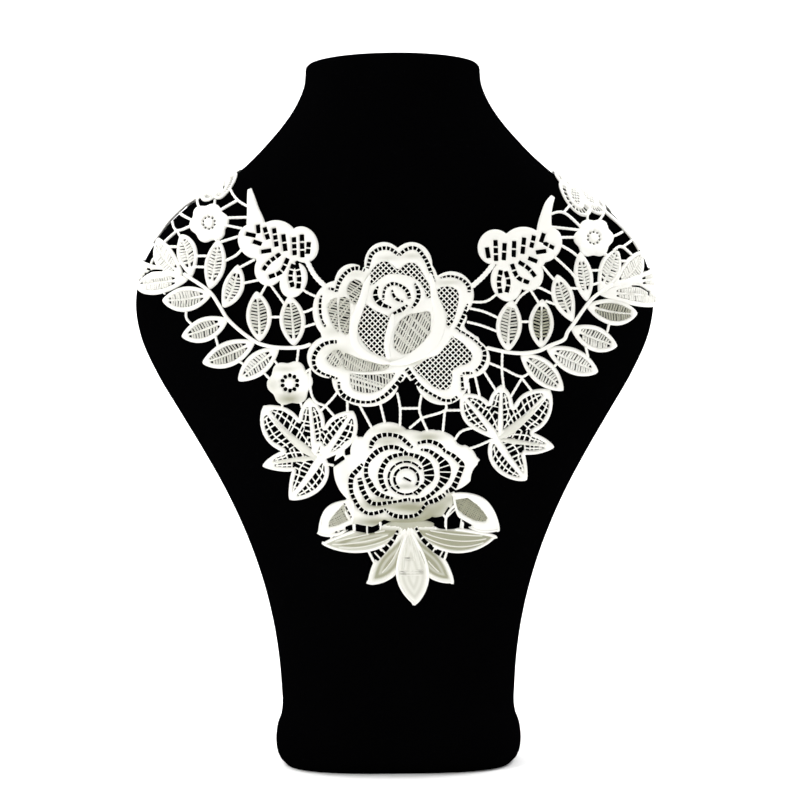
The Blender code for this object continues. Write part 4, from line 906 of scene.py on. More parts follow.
# The upper rose
upperRose = {
    "petals": (
        (-1.5, 225.6, 38.5, 30.4, 0.0), (-22.0, 245.0, 10.2, 12.4, 15.0), (-6.0, 256.5, 10.5, 12.0, 8.0),
        (8.0, 256.3, 10.9, 12.0, -5.0), (28.5, 240.5, 12.0, 12.4, -10.0), (33.5, 217.0, 11.0, 8.0, -35.0),
        (36.0, 208.0, 12.8, 10.8, -15.0), (23.5, 196.5, 14.0, 13.3, -15.0), (-16.5, 196.2, 17.5, 13.6, -6.0),
        (-34.5, 208.8, 12.4, 11.2, 5.0), (-30.5, 232.5, 13.2, 16.0, 5.0), (16.2, 250.8, 5.0, 8.6, 21.0),
    ),
    "rung": 0.62, "pitch": 2.25,
    # ladders: x, z and the width of the opening
    "ladders": (
        ((-31.2, 243.0, 1.4), (-30.2, 246.5, 1.9), (-28.4, 250.0, 2.0), (-25.8, 252.9, 2.0), (-22.4, 254.8, 2.0),
         (-19.0, 254.9, 2.0), (-16.2, 254.0, 1.9)),
        ((-14.9, 254.8, 1.7), (-13.9, 258.6, 1.9), (-12.6, 262.2, 2.0), (-9.4, 264.6, 2.0), (-5.8, 265.4, 2.0),
         (-2.4, 264.6, 1.9), (1.4, 261.6, 1.6)),
        ((1.8, 261.6, 1.6), (4.8, 264.2, 1.9), (8.4, 265.4, 2.0), (11.6, 264.4, 1.9), (14.6, 260.6, 1.9),
         (16.6, 257.0, 1.9), (18.0, 252.9, 1.9), (19.7, 247.4, 1.6)),
        ((23.0, 249.4, 0.7), (26.6, 250.4, 1.2), (31.0, 250.0, 1.3), (35.0, 248.2, 1.6), (37.8, 245.0, 2.0),
         (38.0, 241.8, 1.5)),
        ((37.2, 236.0, 0.8), (36.0, 232.6, 1.3), (34.9, 229.4, 1.9), (33.2, 225.9, 1.5), (31.4, 222.6, 2.0)),
        ((-35.6, 244.5, 1.1), (-33.4, 244.3, 1.4), (-31.2, 243.2, 1.4)),
        ((-39.0, 241.0, 1.0), (-39.8, 237.4, 1.4), (-39.7, 231.6, 1.3), (-38.6, 227.4, 0.9), (-37.0, 224.6, 1.3)),
        ((-31.2, 216.7, 1.8), (-34.6, 216.5, 1.8), (-38.6, 215.2, 1.9), (-42.0, 211.6, 2.1), (-43.5, 207.5, 1.9),
         (-42.5, 203.0, 1.8), (-39.0, 200.3, 1.2), (-34.6, 198.6, 1.2), (-31.0, 197.4, 1.0)),
        ((-30.4, 195.8, 1.6), (-30.2, 192.5, 1.2), (-28.6, 189.4, 2.0), (-26.2, 187.4, 2.2), (-22.6, 185.9, 1.8),
         (-18.0, 185.0, 1.4), (-12.0, 185.4, 1.4), (-6.5, 188.2, 1.8), (-2.4, 192.0, 1.9), (0.5, 195.3, 1.9),
         (3.2, 199.2, 1.5)),
        ((4.9, 202.3, 2.4), (6.3, 200.6, 2.0), (8.4, 197.6, 1.9), (11.0, 194.3, 1.9), (14.0, 191.6, 1.5),
         (17.0, 189.5, 1.3), (20.6, 187.5, 1.4), (24.4, 185.6, 1.5), (28.6, 185.6, 1.5), (31.4, 187.4, 1.6)),
        ((33.7, 199.4, 1.2), (34.0, 195.0, 1.4), (34.4, 190.8, 1.8)),
        ((34.4, 199.5, 1.2), (37.0, 199.8, 1.4), (39.6, 199.6, 1.0)),
        ((41.4, 200.9, 1.5), (44.4, 204.0, 1.9), (45.8, 208.0, 2.1), (45.4, 211.9, 1.9), (42.4, 215.4, 1.1),
         (38.4, 218.6, 1.1), (35.0, 220.8, 0.9), (32.4, 222.0, 1.4)),
        ((-15.2, 245.4, 0.6), (-15.9, 241.8, 0.7), (-16.3, 238.4, 1.0)),
    ),
    "nets": (
        ((-16.5, 247.0), (-12.0, 255.0), (-8.0, 258.4), (-4.5, 258.4), (-1.0, 256.0), (1.0, 253.4), (3.5, 255.8),
         (7.5, 258.2), (10.8, 257.0), (14.2, 251.6), (17.4, 245.6), (18.2, 238.6), (16.2, 238.6), (14.8, 243.6),
         (12.4, 247.8), (8.0, 250.2), (3.0, 251.6), (-2.5, 252.2), (-7.0, 250.6), (-10.5, 247.4), (-13.5, 246.0)),
        ((-16.2, 236.4), (-12.0, 233.2), (-7.0, 231.0), (-3.4, 229.8), (-3.9, 223.5), (-6.0, 218.0), (-6.4, 212.0),
         (-5.8, 208.4), (-10.0, 209.4), (-14.0, 212.0), (-18.2, 217.0), (-20.2, 222.0), (-20.0, 227.5), (-18.6, 232.4)),
        ((21.0, 243.0), (24.0, 245.2), (28.5, 245.2), (32.0, 243.0), (33.0, 239.6), (32.0, 235.6), (31.0, 230.6),
         (28.8, 224.6), (26.4, 222.6), (26.0, 227.6), (26.6, 231.4), (24.6, 233.4), (21.4, 236.4)),
        ((29.2, 219.0), (33.4, 216.4), (37.2, 212.8), (39.6, 210.0), (39.4, 206.8), (36.4, 204.4), (32.2, 203.4),
         (28.6, 201.8), (28.9, 196.6), (27.4, 191.4), (23.4, 190.8), (19.0, 192.8), (15.2, 196.0), (11.0, 199.6),
         (8.4, 203.0), (12.4, 205.2), (17.0, 208.0), (22.0, 209.6), (25.6, 214.0)),
    ),
    "netAngles": (42, -48), "netPitch": 1.95, "netWidth": 0.58,
    # regions of long parallel threads: angle, pitch, gap, painted shade, outline
    "slits": (
        (-14, 1.35, 0.46, 0.6, ((-24.6, 238.6), (-24.2, 232.0), (-24.8, 224.6), (-25.2, 219.6), (-28.2, 221.2),
                                (-29.6, 226.0), (-30.0, 232.0), (-29.8, 238.8), (-27.4, 240.6))),
        (-12, 1.35, 0.46, 0.5, ((-31.2, 239.6), (-30.9, 232.0), (-30.6, 226.0), (-30.0, 221.4), (-33.0, 225.0),
                                (-35.2, 231.0), (-36.0, 235.4), (-34.0, 238.4))),
        (-28, 1.35, 0.44, 0.5, ((-21.4, 249.2), (-17.2, 247.6), (-18.4, 243.0), (-18.8, 238.0), (-22.4, 235.4),
                                (-24.4, 240.4), (-26.0, 243.6), (-24.4, 247.4))),
        (66, 1.3, 0.34, 0.38, ((2.2, 227.6), (6.2, 230.6), (12.2, 231.4), (17.6, 232.6), (17.8, 226.0), (17.0, 219.0),
                               (13.6, 214.6), (8.0, 210.6), (2.0, 210.0), (-1.4, 213.6), (-1.2, 220.0), (0.4, 225.2))),
        (94, 1.45, 0.56, 0.3, ((-24.4, 200.2), (-20.0, 199.4), (-12.0, 199.2), (-4.0, 199.8), (-0.8, 200.2), (-2.6, 197.0),
                              (-5.6, 194.0), (-9.0, 191.0), (-15.0, 189.6), (-22.0, 191.0), (-24.4, 195.0))),
        (60, 1.2, 0.24, 0.4, ((-36.6, 208.0), (-34.0, 211.6), (-29.4, 212.6), (-27.6, 208.6), (-29.0, 203.4),
                             (-34.0, 204.0))),
        (78, 1.15, 0.17, 0.5, ((-26.8, 210.8), (-20.6, 208.0), (-14.0, 205.6), (-8.0, 204.6), (-3.0, 204.2), (-6.0, 202.0),
                                (-14.0, 201.0), (-24.0, 201.6), (-28.2, 203.4))),
    ),
    "crossing": 68, "trims": (
        ((37.4, 229.8), (36.3, 226.6), (34.9, 224.0), (36.4, 222.4), (39.6, 220.3), (42.6, 218.0), (46.0, 219.5), (42.0, 229.0)),
        ((5.0, 198.4), (7.2, 195.2), (9.6, 191.6), (0.6, 191.6), (2.6, 195.0)),
    ),
    # ladders inside the bud
    "budSlots": (
        ((9.6, 246.8, 1.0), (11.2, 243.8, 1.8), (11.7, 240.6, 2.1), (10.9, 237.8, 2.0), (9.2, 235.2, 1.5),
         (8.0, 233.8, 0.9)),
        ((5.8, 235.5, 1.0), (2.6, 233.1, 2.3), (-0.2, 231.9, 1.4), (-3.0, 229.8, 1.3)),
        ((-9.4, 245.6, 0.9), (-10.9, 242.4, 2.0), (-10.5, 239.2, 2.4), (-8.5, 236.6, 2.5), (-5.6, 235.1, 1.8),
         (-2.6, 234.2, 1.1)),
        ((-6.8, 238.0, 1.1), (-6.6, 241.6, 1.2), (-5.3, 245.0, 1.4), (-2.0, 246.8, 1.7), (1.2, 246.2, 1.4),
         (4.0, 244.6, 1.7), (6.2, 242.0, 1.9), (6.9, 238.8, 1.6)),
        ((-2.2, 243.6, 1.1), (-1.5, 240.8, 1.3), (0.4, 238.5, 1.5), (3.6, 237.3, 0.9)),
    ),
    # painted shade in soft patches on the petals: x, z, half width, half height, strength
    "paintedShade": (
        (-17.0, 202.6, 9.0, 1.7, 0.7), (-25.0, 206.0, 8.0, 2.6, 0.45), (-7.0, 205.4, 9.0, 1.6, 0.5),
        (7.0, 205.6, 9.0, 1.6, 0.5), (-31.0, 211.0, 6.0, 3.0, 0.5), (-4.0, 259.8, 5.0, 1.4, 0.35),
        (8.4, 260.8, 5.0, 1.4, 0.4), (-21.0, 251.6, 6.0, 2.4, 0.25), (27.0, 246.8, 6.0, 1.4, 0.4),
        (-33.0, 222.0, 5.0, 3.0, 0.3), (-27.0, 236.0, 8.0, 10.0, 0.2), (8.0, 221.0, 9.0, 10.0, 0.2),
        (22.0, 186.6, 9.0, 1.4, 0.25),
    ),
    # raised bands over the petals: x, z, width
    "bands": (
        ((-13.4, 251.0, 1.2), (-15.4, 246.0, 3.2), (-17.0, 240.0, 4.0), (-19.8, 232.0, 4.2), (-22.4, 224.0, 4.4),
         (-21.6, 216.0, 4.2), (-17.0, 210.4, 4.0), (-9.0, 206.4, 3.2), (-3.0, 205.2, 1.2)),
        ((17.6, 252.0, 1.4), (19.0, 246.0, 2.8), (20.0, 239.0, 4.0), (22.0, 232.4, 5.4), (22.4, 225.6, 6.4),
         (20.0, 218.4, 6.6), (13.4, 211.4, 6.2), (5.0, 206.6, 4.4), (-4.0, 204.8, 1.6)),
        ((-2.0, 231.2, 1.6), (-2.6, 226.0, 3.2), (-4.4, 219.0, 3.4), (-5.0, 213.0, 3.0), (-4.0, 207.4, 2.0)),
    ),
}


def outerLadder(row, span, gap, inset):
    x, z, halfWidth, halfHeight, turn = row
    line = place(ellipse(x, z, halfWidth, halfHeight, turn, inset=inset, span=span, step=1.2))
    half = sideways(line) * gap / 2
    left, right = line + half, line - half
    return {"left": left, "right": right, "shape": np.vstack([left, right[::-1]])}


def makeUpperRose():
    rose = upperRose
    lace = startLace()
    ladders = [slot(one, 1.5, 0.9) for one in rose["ladders"] + rose["budSlots"]]
    nets = [region(*one) for one in rose["nets"]]
    slits = [region(*one[4]) for one in rose["slits"]]
    cuts = [one["shape"] for one in ladders] + nets + slits + [region(*one) for one in rose["trims"]]
    grain = radial(0.0, 226.0, 26.0)
    pad(lace, [ellipseShape(row) for row in rose["petals"]], cuts, cell=0.7, grain=grain, slope=1.1,
        shade=shadePatches(*rose["paintedShade"]))
    rungs(lace, ladders, rose["pitch"], rose["rung"])
    for angle in rose["netAngles"]:
        netFill(lace, nets, angle, rose["netPitch"], rose["netWidth"], lift=0.2)
    # the slit threads carry painted shade
    for (angle, pitch, gap, dark, outline), shape in zip(rose["slits"], slits):
        netFill(lace, [shape], angle, pitch, pitch - gap, lift=0.2, shade=dark, thick=0.8, loose=0.3)
        netFill(lace, [shape], angle + rose["crossing"], 2.6, 1.0, lift=0.05, shade=dark * 0.7, thick=0.8, loose=0.9)
    for band in rose["bands"]:
        rows = softEnds(smoothLine(placeRows(band), 0.8))
        stroke(lace, rows, rows[:, 2], 1.05, 0.6, 10)
    return lace


# The lower rose
lowerRose = {
    "petals": (
        (4.0, 146.0, 27.0, 24.5, 0.0), (-16.5, 130.5, 12.0, 10.8, 20.0), (18.5, 134.5, 10.5, 9.6, -30.0),
        (5.5, 130.5, 14.5, 8.6, 0.0), (28.5, 150.5, 14.0, 11.6, 35.0), (-18.5, 149.0, 15.0, 18.0, 12.0),
        (19.5, 159.4, 14.2, 10.8, -12.0), (-5.2, 160.3, 14.4, 14.2, 6.0),
    ),
    "bars": (
        ((-20.5, 185), (-11.5, 168)), ((-9.5, 187), (-6, 172)), ((0, 190), (1.5, 181.5), (1.2, 171)),
        ((1.5, 181.6), (11.5, 181.6)), ((13, 190), (11.5, 181.5), (12.7, 176.5), (16, 169)),
        ((12.7, 176.5), (6, 171)), ((12.7, 176.5), (24.8, 180.4), (24.6, 186)), ((24.8, 180.4), (23.5, 168)),
    ),
    "centre": (4.0, 145.5), "rung": 0.62, "pitch": 2.3,
    "tip": ((34.0, 146.0), (43.2, 154.4), (36.0, 160.8), (30.0, 152.0)),
    # what is cut from its edge
    "bites": ((46.6, 143.0, 8.6, 10.6, 6.0), (20.4, 172.8, 2.2, 3.0, 0.0), (33.4, 164.6, 3.4, 2.4, -30.0)),
    "gaps": (((-21.8, 169.0, 0.9), (-24.4, 163.6, 1.0), (-26.2, 159.8, 2.8), (-26.0, 157.4, 2.6)),
             ((-33.6, 152.6, 2.2), (-28.0, 156.4, 2.2))),
    # ladders as angle, distance from the centre, and width of the opening
    "ladders": (
        ((-60, 10.4, 1.2), (-25, 10.6, 1.4), (0, 12.4, 3.6), (30, 13.0, 3.4), (48, 12.8, 2.2), (62, 12.5, 1.6),
         (90, 12.2, 1.2), (130, 13.2, 1.7), (165, 13.2, 1.8), (190, 12.7, 1.8), (215, 12.3, 1.2)),
        ((-75, 12.6, 1.2), (-48, 14.9, 1.5), (-22, 17.3, 1.6), (-4, 20.0, 3.2), (7, 21.0, 4.2), (16, 21.2, 3.8),
         (26, 20.6, 2.4), (39, 19.2, 1.7), (49, 18.4, 1.3), (61, 16.6, 0.9)),
        ((88, 13.0, 0.9), (101, 15.3, 1.4), (114, 17.5, 1.6), (129, 19.2, 1.9), (142, 20.3, 2.0), (159, 21.4, 1.5),
         (176, 20.6, 1.6), (189, 18.8, 2.0), (201, 17.8, 2.0), (212, 16.4, 1.8), (224, 14.4, 1.4), (238, 12.8, 0.9)),
        ((180, 24.2, 1.6), (189, 23.6, 2.0), (197, 23.4, 1.9), (213, 22.7, 1.6), (222, 20.4, 1.5), (234, 16.2, 1.3),
         (250, 13.3, 1.0), (265, 11.9, 1.2), (282, 11.6, 1.4)),
        ((76, 16.0, 0.9), (86, 17.8, 1.4), (93, 20.0, 1.5), (100, 21.9, 1.4), (112, 24.2, 1.5), (123, 25.7, 1.7),
         (132, 25.4, 1.8), (140, 23.8, 1.2)),
        ((34, 24.9, 0.9), (44, 24.4, 1.5), (57, 22.4, 1.4), (70, 19.0, 1.1)),
        ((-20, 22.4, 1.1), (-14, 25.2, 2.2), (-3, 27.0, 2.0), (7, 29.2, 1.9), (12, 30.4, 1.8), (18, 28.9, 1.6),
         (26, 26.9, 1.4), (35, 24.2, 1.0)),
        ((162, 23.6, 1.0), (169, 24.9, 1.7), (178, 28.0, 1.8), (186, 28.9, 1.8), (195, 29.3, 1.5), (204, 29.1, 1.5),
         (214, 28.7, 1.4), (224, 26.9, 1.3), (232, 22.8, 1.4), (238, 19.4, 0.9)),
        ((240, 20.2, 0.9), (252, 20.7, 1.6), (264, 20.6, 1.6), (276, 20.4, 1.4), (287, 20.2, 1.4), (298, 18.6, 1.2),
         (305, 17.6, 1.2), (312, 17.6, 1.6), (322, 19.6, 1.8), (336, 22.3, 1.7)),
    ),
    "rings": ((4.4, 144.7, 6.3, 6.1, 1.3, (-35, 235)), (4.2, 145.2, 9.1, 8.5, 1.1, (30, 335))),
    "eye": ((2.8, 145.6, 0.8), (4.8, 144.6, 1.2), (7.0, 143.4, 0.9)), "widen": 1.35,
    # painted shade under the ladders and along the foot of the rose: x, z, half width, half height, strength
    "paintedShade": (
        (-2.0, 170.2, 10.0, 2.0, 0.6), (16.0, 166.6, 7.0, 2.2, 0.8), (-5.0, 164.4, 7.0, 2.4, 0.6), (4.0, 155.6, 7.0, 1.6, 0.6),
        (-13.0, 131.2, 9.0, 2.6, 0.7), (5.0, 130.2, 10.0, 2.8, 1.0), (-15.0, 122.8, 9.0, 2.6, 0.6),
        (3.0, 122.4, 16.0, 2.8, 1.0), (17.0, 126.0, 8.0, 4.5, 0.8), (23.0, 131.5, 5.0, 4.0, 0.6),
        (4.0, 141.0, 5.0, 1.4, 0.6), (28.0, 135.0, 4.0, 2.6, 0.6), (-9.0, 134.4, 7.0, 1.4, 0.5), (-27.0, 148.0, 4.0, 8.0, 0.15),
    ),
}


def makeLowerRose():
    rose = lowerRose
    lace = startLace()
    shapes = [ellipseShape(row) for row in rose["petals"]] + [region(*rose["tip"])]
    cx, cz = rose["centre"]
    ladders = []
    for row in rose["ladders"]:
        row = np.array(row, float)
        t = np.radians(row[:, 0])
        ladders.append(slot(np.column_stack([cx + row[:, 1] * np.cos(t), cz + row[:, 1] * np.sin(t),
                                             row[:, 2] * rose["widen"]]), 1.6, 0.9))
    rings = []
    for x, z, halfWidth, halfHeight, gap, span in rose["rings"]:
        rings.append(outerLadder((x, z, halfWidth, halfHeight, 0.0), span, gap, 0.0))
    eye = slot(rose["eye"], 1.0, 0.6)
    windows = [slot(one, 1.5, 0.9) for one in tail["windows"] + rose["gaps"]]
    cuts = [one["shape"] for one in ladders + rings + windows + [eye]] + [ellipseShape(row) for row in rose["bites"]]
    pad(lace, shapes, cuts, cell=0.6, grain=radial(cx, cz, 20.0), slope=1.5,
        shade=shadePatches(*rose["paintedShade"]))
    rungs(lace, ladders, rose["pitch"], rose["rung"])
    rungs(lace, rings, 3.4, 0.5)
    for line in rose["bars"]:
        bride(lace, line)
    return lace


# The pointed leaves under the lower rose
tail = {
    "leaves": (
        (-24.0, 134.0, -41.5, 116.5, 15.5, 1.2, 0.5), (29.0, 137.0, 52.5, 118.0, 16.5, -0.8, 0.5),
        (3.0, 119.5, -40.0, 111.5, 12.5, 2.2, 0.45), (7.0, 120.0, 51.0, 115.0, 12.8, -4.6, 0.5),
        (4.0, 121.0, -16.0, 90.5, 13.0, 3.0, 0.6), (6.0, 121.0, 28.5, 91.0, 13.0, -3.0, 0.6),
        (5.2, 121.0, 8.5, 79.5, 16.5, 0.0, 0.6),
    ),
    "bars": (
        ((-23, 126), (-23, 112)), ((-16.5, 126), (-16.5, 112)), ((-9.5, 126), (-9.5, 113)),
        ((25, 112), (25, 124.5), (29.5, 131)), ((25, 124.5), (19, 130)), ((33, 112), (34, 128)),
        ((42, 114), (42, 126)), ((-35, 112), (-35, 122)), ((-29, 113), (-30, 124)), ((-16.5, 109), (-11, 98)),
        ((-11, 112), (-6, 102)), ((-6, 115), (-2, 105)), ((26.5, 111), (22.5, 98)), ((21, 112), (17, 102)),
        ((15.5, 115), (12, 105)), ((-31, 128), (-22, 135)), ((35, 133), (25, 140)),
    ),
    # the two woven patches in the uppermost leaves
    "woven": (
        ((-28.6, 131.6), (-33.2, 126.8), (-37.0, 121.6), (-36.4, 119.8), (-30.0, 121.6), (-25.2, 124.0)),
        ((27.6, 132.4), (30.0, 133.6), (36.2, 134.6), (41.6, 130.6), (46.6, 124.6), (46.6, 122.2), (40.0, 122.6),
         (33.6, 126.4)),
    ),
    # openings: x, z and width along each
    "windows": (
        ((-0.2, 118.0, 1.3), (-2.6, 113.4, 1.9), (-6.6, 108.8, 2.8), (-12.4, 103.6, 4.2)),
        ((9.0, 119.4, 1.3), (12.8, 113.2, 1.9), (18.0, 108.4, 2.6), (24.4, 104.8, 4.0)),
        ((-28.3, 132.4, 0.6), (-26.4, 128.4, 1.0), (-24.4, 124.6, 0.9)),
        ((-34.4, 117.1, 0.8), (-28.6, 118.0, 0.9)),
        ((-27.8, 119.4, 1.4), (-23.0, 119.8, 3.4), (-19.0, 119.0, 3.6), (-14.0, 118.4, 3.4), (-9.4, 119.8, 1.8)),
        ((18.6, 121.6, 2.4), (22.0, 121.4, 5.4), (29.0, 121.8, 6.6), (33.5, 121.2, 3.6), (38.4, 120.0, 0.9)),
        ((25.0, 125.6, 2.6), (26.6, 129.8, 1.0)), ((-8.6, 120.4, 0.8), (-7.6, 122.8, 1.6)),
        ((0.4, 96.3, 0.5), (3.2, 96.1, 0.6)), ((10.6, 96.5, 0.6), (13.2, 96.4, 0.5)), ((3.0, 103.6, 0.4), (6.0, 103.5, 0.4)),
    ),
    "windowPitch": (3.6, 3.6, 2.2, 3.0, 0.0, 0.0, 0.0, 0.0, 0.0, 0.0, 0.0), "windowRung": 0.9,
    "posts": (
        ((25.0, 117.6), (25.0, 124.3)), ((25.0, 124.3), (22.2, 126.8)), ((25.0, 124.3), (29.8, 128.8)), ((32.3, 118.4), (33.3, 124.8)),
        ((-23.4, 117.2), (-23.7, 122.0)), ((-16.4, 116.2), (-16.4, 120.6)), ((-9.5, 118.2), (-9.0, 122.4)),
    ),
    # painted shade of each leaf, its rim, and the raised lines along it
    "looks": (
        (0.1, 4.5, ()), (0.1, 4.5, ()), (1.15, 1.3, ((-0.4, 3, -4), (0.1, 5, -3), (0.5, 3, -5))),
        (1.6, 1.3, ((-0.45, 3, -4), (0.0, 4, -3), (0.5, 3, -4))), (1.1, 1.9, ((0.1, 5, -6),)), (1.15, 1.9, ((-0.1, 5, -6),)),
        (0.5, 1.4, ((-0.5, 2, 15), (-0.2, 2, 13), (0.2, 2, 13), (0.5, 2, 15))),
    ),
    "crown": (5.8, 120.2, 13.4, 3.4, 1.0), "wovenShade": (0.75, 0.95),
    "crossings": (
        ((0.6, 96.2), (12.6, 96.6)), ((0.4, 97.3), (5.0, 96.9)), ((7.4, 97.2), (12.8, 97.9)), ((0.6, 95.0), (12.2, 94.8)),
        ((3.0, 103.4), (8.0, 103.2)),
    ),
}


def makeTail():
    lace = startLace()
    windows = [slot(one, 1.5, 0.9) for one in tail["windows"]]
    openings = [one["shape"] for one in windows]
    patches = [region(*one) for one in tail["woven"]]
    crown = ellipseShape(tail["crown"])
    leaves = [leafShape(row, 1.7, 1.2) for row in tail["leaves"]]
    for i, (leaf, look) in enumerate(zip(leaves, tail["looks"])):
        lift = 0.06 * i
        pad(lace, [leaf["outline"]], openings + patches[i:i + 1], cell=0.7, turn=leaf["turn"], lift=lift,
            grain=along(leaf["turn"] + 78), shade=lambda p, leaf=leaf, look=look: paintedLeafShade(p, leaf, *look[:2]), slope=1.2,
            thick=1.2)
        covers = openings + [crown] + [other["outline"] for other in leaves[i + 1:]]
        edge = leaf["left"] * (leaf["half"] - 0.8)[:, None]
        rim = np.vstack([leaf["mid"] + edge, (leaf["mid"] - edge)[-2:0:-1]])
        for run in shownRuns(evenLine(rim, 0.8, closed=True), covers=covers):
            stroke(lace, softEnds(run), 1.3, 0.9, 0.6 + lift, 8)
        # the raised lines carry a little painted shade
        for share, near, far in look[2]:
            rib = leaf["mid"] + leaf["left"] * leaf["half"][:, None] * share
            for run in shownRuns(evenLine(rib[near:far], 0.8), covers=covers):
                stroke(lace, softEnds(run), 0.75, 0.7, 0.62 + lift, 6, shade=0.3)
    # the crossings carry a little painted shade
    for line in tail["crossings"]:
        a, b = place(line)
        strand(lace, a, b, 0.5, 0.6, 1.1, 0.2)
    # the woven patches' threads carry painted shade
    for i, patch in enumerate(patches):
        for slant in (25.0, -62.0):
            netFill(lace, [patch], slant * (1 - 2 * i), 0.9, 0.62, lift=0.15, shade=tail["wovenShade"][i], thick=0.6, loose=0.4)
    for window, pitch in zip(windows, tail["windowPitch"]):
        if pitch:
            rungs(lace, [window], pitch, tail["windowRung"])
    for line in tail["posts"]:
        a, b = place(line)
        strand(lace, a, b, tail["windowRung"], 0.8, 0.2)
    # the crown under the rose carries painted shade, where the rose shades the tops of the leaves
    pad(lace, [crown], openings, cell=0.7, grain=along(80), shade=0.8, thick=1.1)
    for line in tail["bars"]:
        bride(lace, line)
    return lace


def paintedLeafShade(points, leaf, strength, rim):
    # Painted shade: greyer inside the rim, in soft streaks that follow it
    away = nearest(points, leaf["outline"], np.roll(leaf["outline"], -1, axis=0))[0]
    streaks = 0.78 + 0.22 * np.sin(2.3 * away + 0.05 * points[:, 0])
    return np.clip((away - rim) / 1.6 + 0.4, 0.0, 1.0) * streaks * strength


# The pieces that run over the shoulders, laid out as x and the distance from the ridge
shoulder = {
    "rowsLeft": (
        (86.0, -17.0, 6.5, 14.5, 0.0), (91.0, -13.5, 7.5, 13.5, 0.0), (94.5, -5.0, 8.0, 12.5, 0.0),
        (95.5, 6.0, 12.0, 13.0, 0.0), (86.0, 7.0, 8.0, 11.0, 0.0), (92.0, 17.0, 10.5, 10.0, 0.0),
    ),
    "rowsRight": (
        (91.8, -26.3, 8.2, 12.4, 0.0), (98.8, -15.5, 9.3, 14.2, 0.0), (93.0, -3.0, 11.0, 15.0, 10.0),
        (101.0, 6.0, 12.0, 13.0, 0.0), (90.5, 9.0, 9.0, 11.5, 0.0), (97.0, 17.0, 10.5, 10.0, 0.0),
        (88.6, -12.0, 6.4, 13.5, 0.0),
    ),
    "cord": 1.6, "gap": 1.9, "netPitch": 1.7, "netWidth": 0.65,
}


def ridgeProfile(x):
    high = bust["shoulderRow"]
    top = float(np.interp(-abs(x), -bust["rows"][high:, 1], heights[high:]))
    fine = np.linspace(top - 2.0, top + 2.0, 81)
    top = float(np.interp(-abs(x), -section(fine)[0], fine))
    levels = top - 60.0 * np.linspace(0.0, 1.0, 160) ** 2
    halfWidth, front, back, squareness = section(levels)
    rise = (1.0 - np.clip(abs(x) / halfWidth, 0.0, 1.0) ** squareness) ** (1.0 / squareness)
    rise[0] = 0.0
    return levels, front * rise, back * rise


shoulderGrid = {"x": np.arange(70.0, 118.0, 1.0), "run": np.arange(-50.0, 42.0, 1.0)}
shoulderTable = np.empty((len(shoulderGrid["x"]), len(shoulderGrid["run"]), 2))
for i, x in enumerate(shoulderGrid["x"]):
    levels, front, back = ridgeProfile(x)
    for depth, sign in ((front, -1.0), (back, 1.0)):
        travelled = np.concatenate([[0.0], np.cumsum(np.hypot(np.diff(depth), np.diff(levels)))])
        mine = shoulderGrid["run"] * sign >= 0.0
        steps = np.abs(shoulderGrid["run"][mine])
        shoulderTable[i, mine, 0] = sign * np.interp(steps, travelled, depth)
        shoulderTable[i, mine, 1] = np.interp(steps, travelled, levels)


def overShoulder(x, run):
    row, column = np.abs(x) - shoulderGrid["x"][0], run - shoulderGrid["run"][0]
    return np.stack([x, between(shoulderTable[..., 0], row, column), between(shoulderTable[..., 1], row, column)], axis=-1)


def makeShoulder(side):
    sign = 1.0 if side == "Right" else -1.0
    lace = startLace()
    rows = shoulder["rows" + side]
    flip = np.array([sign, 1.0])
    shapes = [ellipse(*row, step=1.2)[:-1] * flip for row in rows]
    ladders, nets = [], []
    for i, row in enumerate(rows):
        x, z, halfWidth, halfHeight, turn = row
        line = ellipse(x, z, halfWidth, halfHeight, turn, inset=shoulder["cord"] + shoulder["gap"] / 2, step=1.0) * flip
        others = [ellipse(*other, inset=0.6, step=1.5)[:-1] * flip for k, other in enumerate(rows) if k != i]
        for run in shownRuns(line, covers=others, least=5):
            half = sideways(run) * shoulder["gap"] / 2
            left, right = run + half, run - half
            ladders.append({"left": left, "right": right, "shape": np.vstack([left, right[::-1]])})
        nets.append(ellipse(x, z, halfWidth, halfHeight, turn, inset=shoulder["cord"] + shoulder["gap"] + 2.4,
                            step=1.2)[:-1] * flip)
    pad(lace, shapes, [one["shape"] for one in ladders] + nets, cell=0.7, grain=along(0), slope=1.1)
    rungs(lace, ladders, 1.9, 0.75)
    for angle in (40, -40):
        netFill(lace, nets, angle, shoulder["netPitch"], shoulder["netWidth"], lift=0.2)
    return lace


# Materials
def makeMaterial(name, colour, roughness):
    material = bpy.data.materials.new(name)
    material.use_nodes = True
    nodes, links = material.node_tree.nodes, material.node_tree.links
    shader = nodes["Principled BSDF"]
    shader.inputs["Base Color"].default_value = (*colour, 1.0)
    shader.inputs["Roughness"].default_value = roughness
    return material, nodes, links, shader


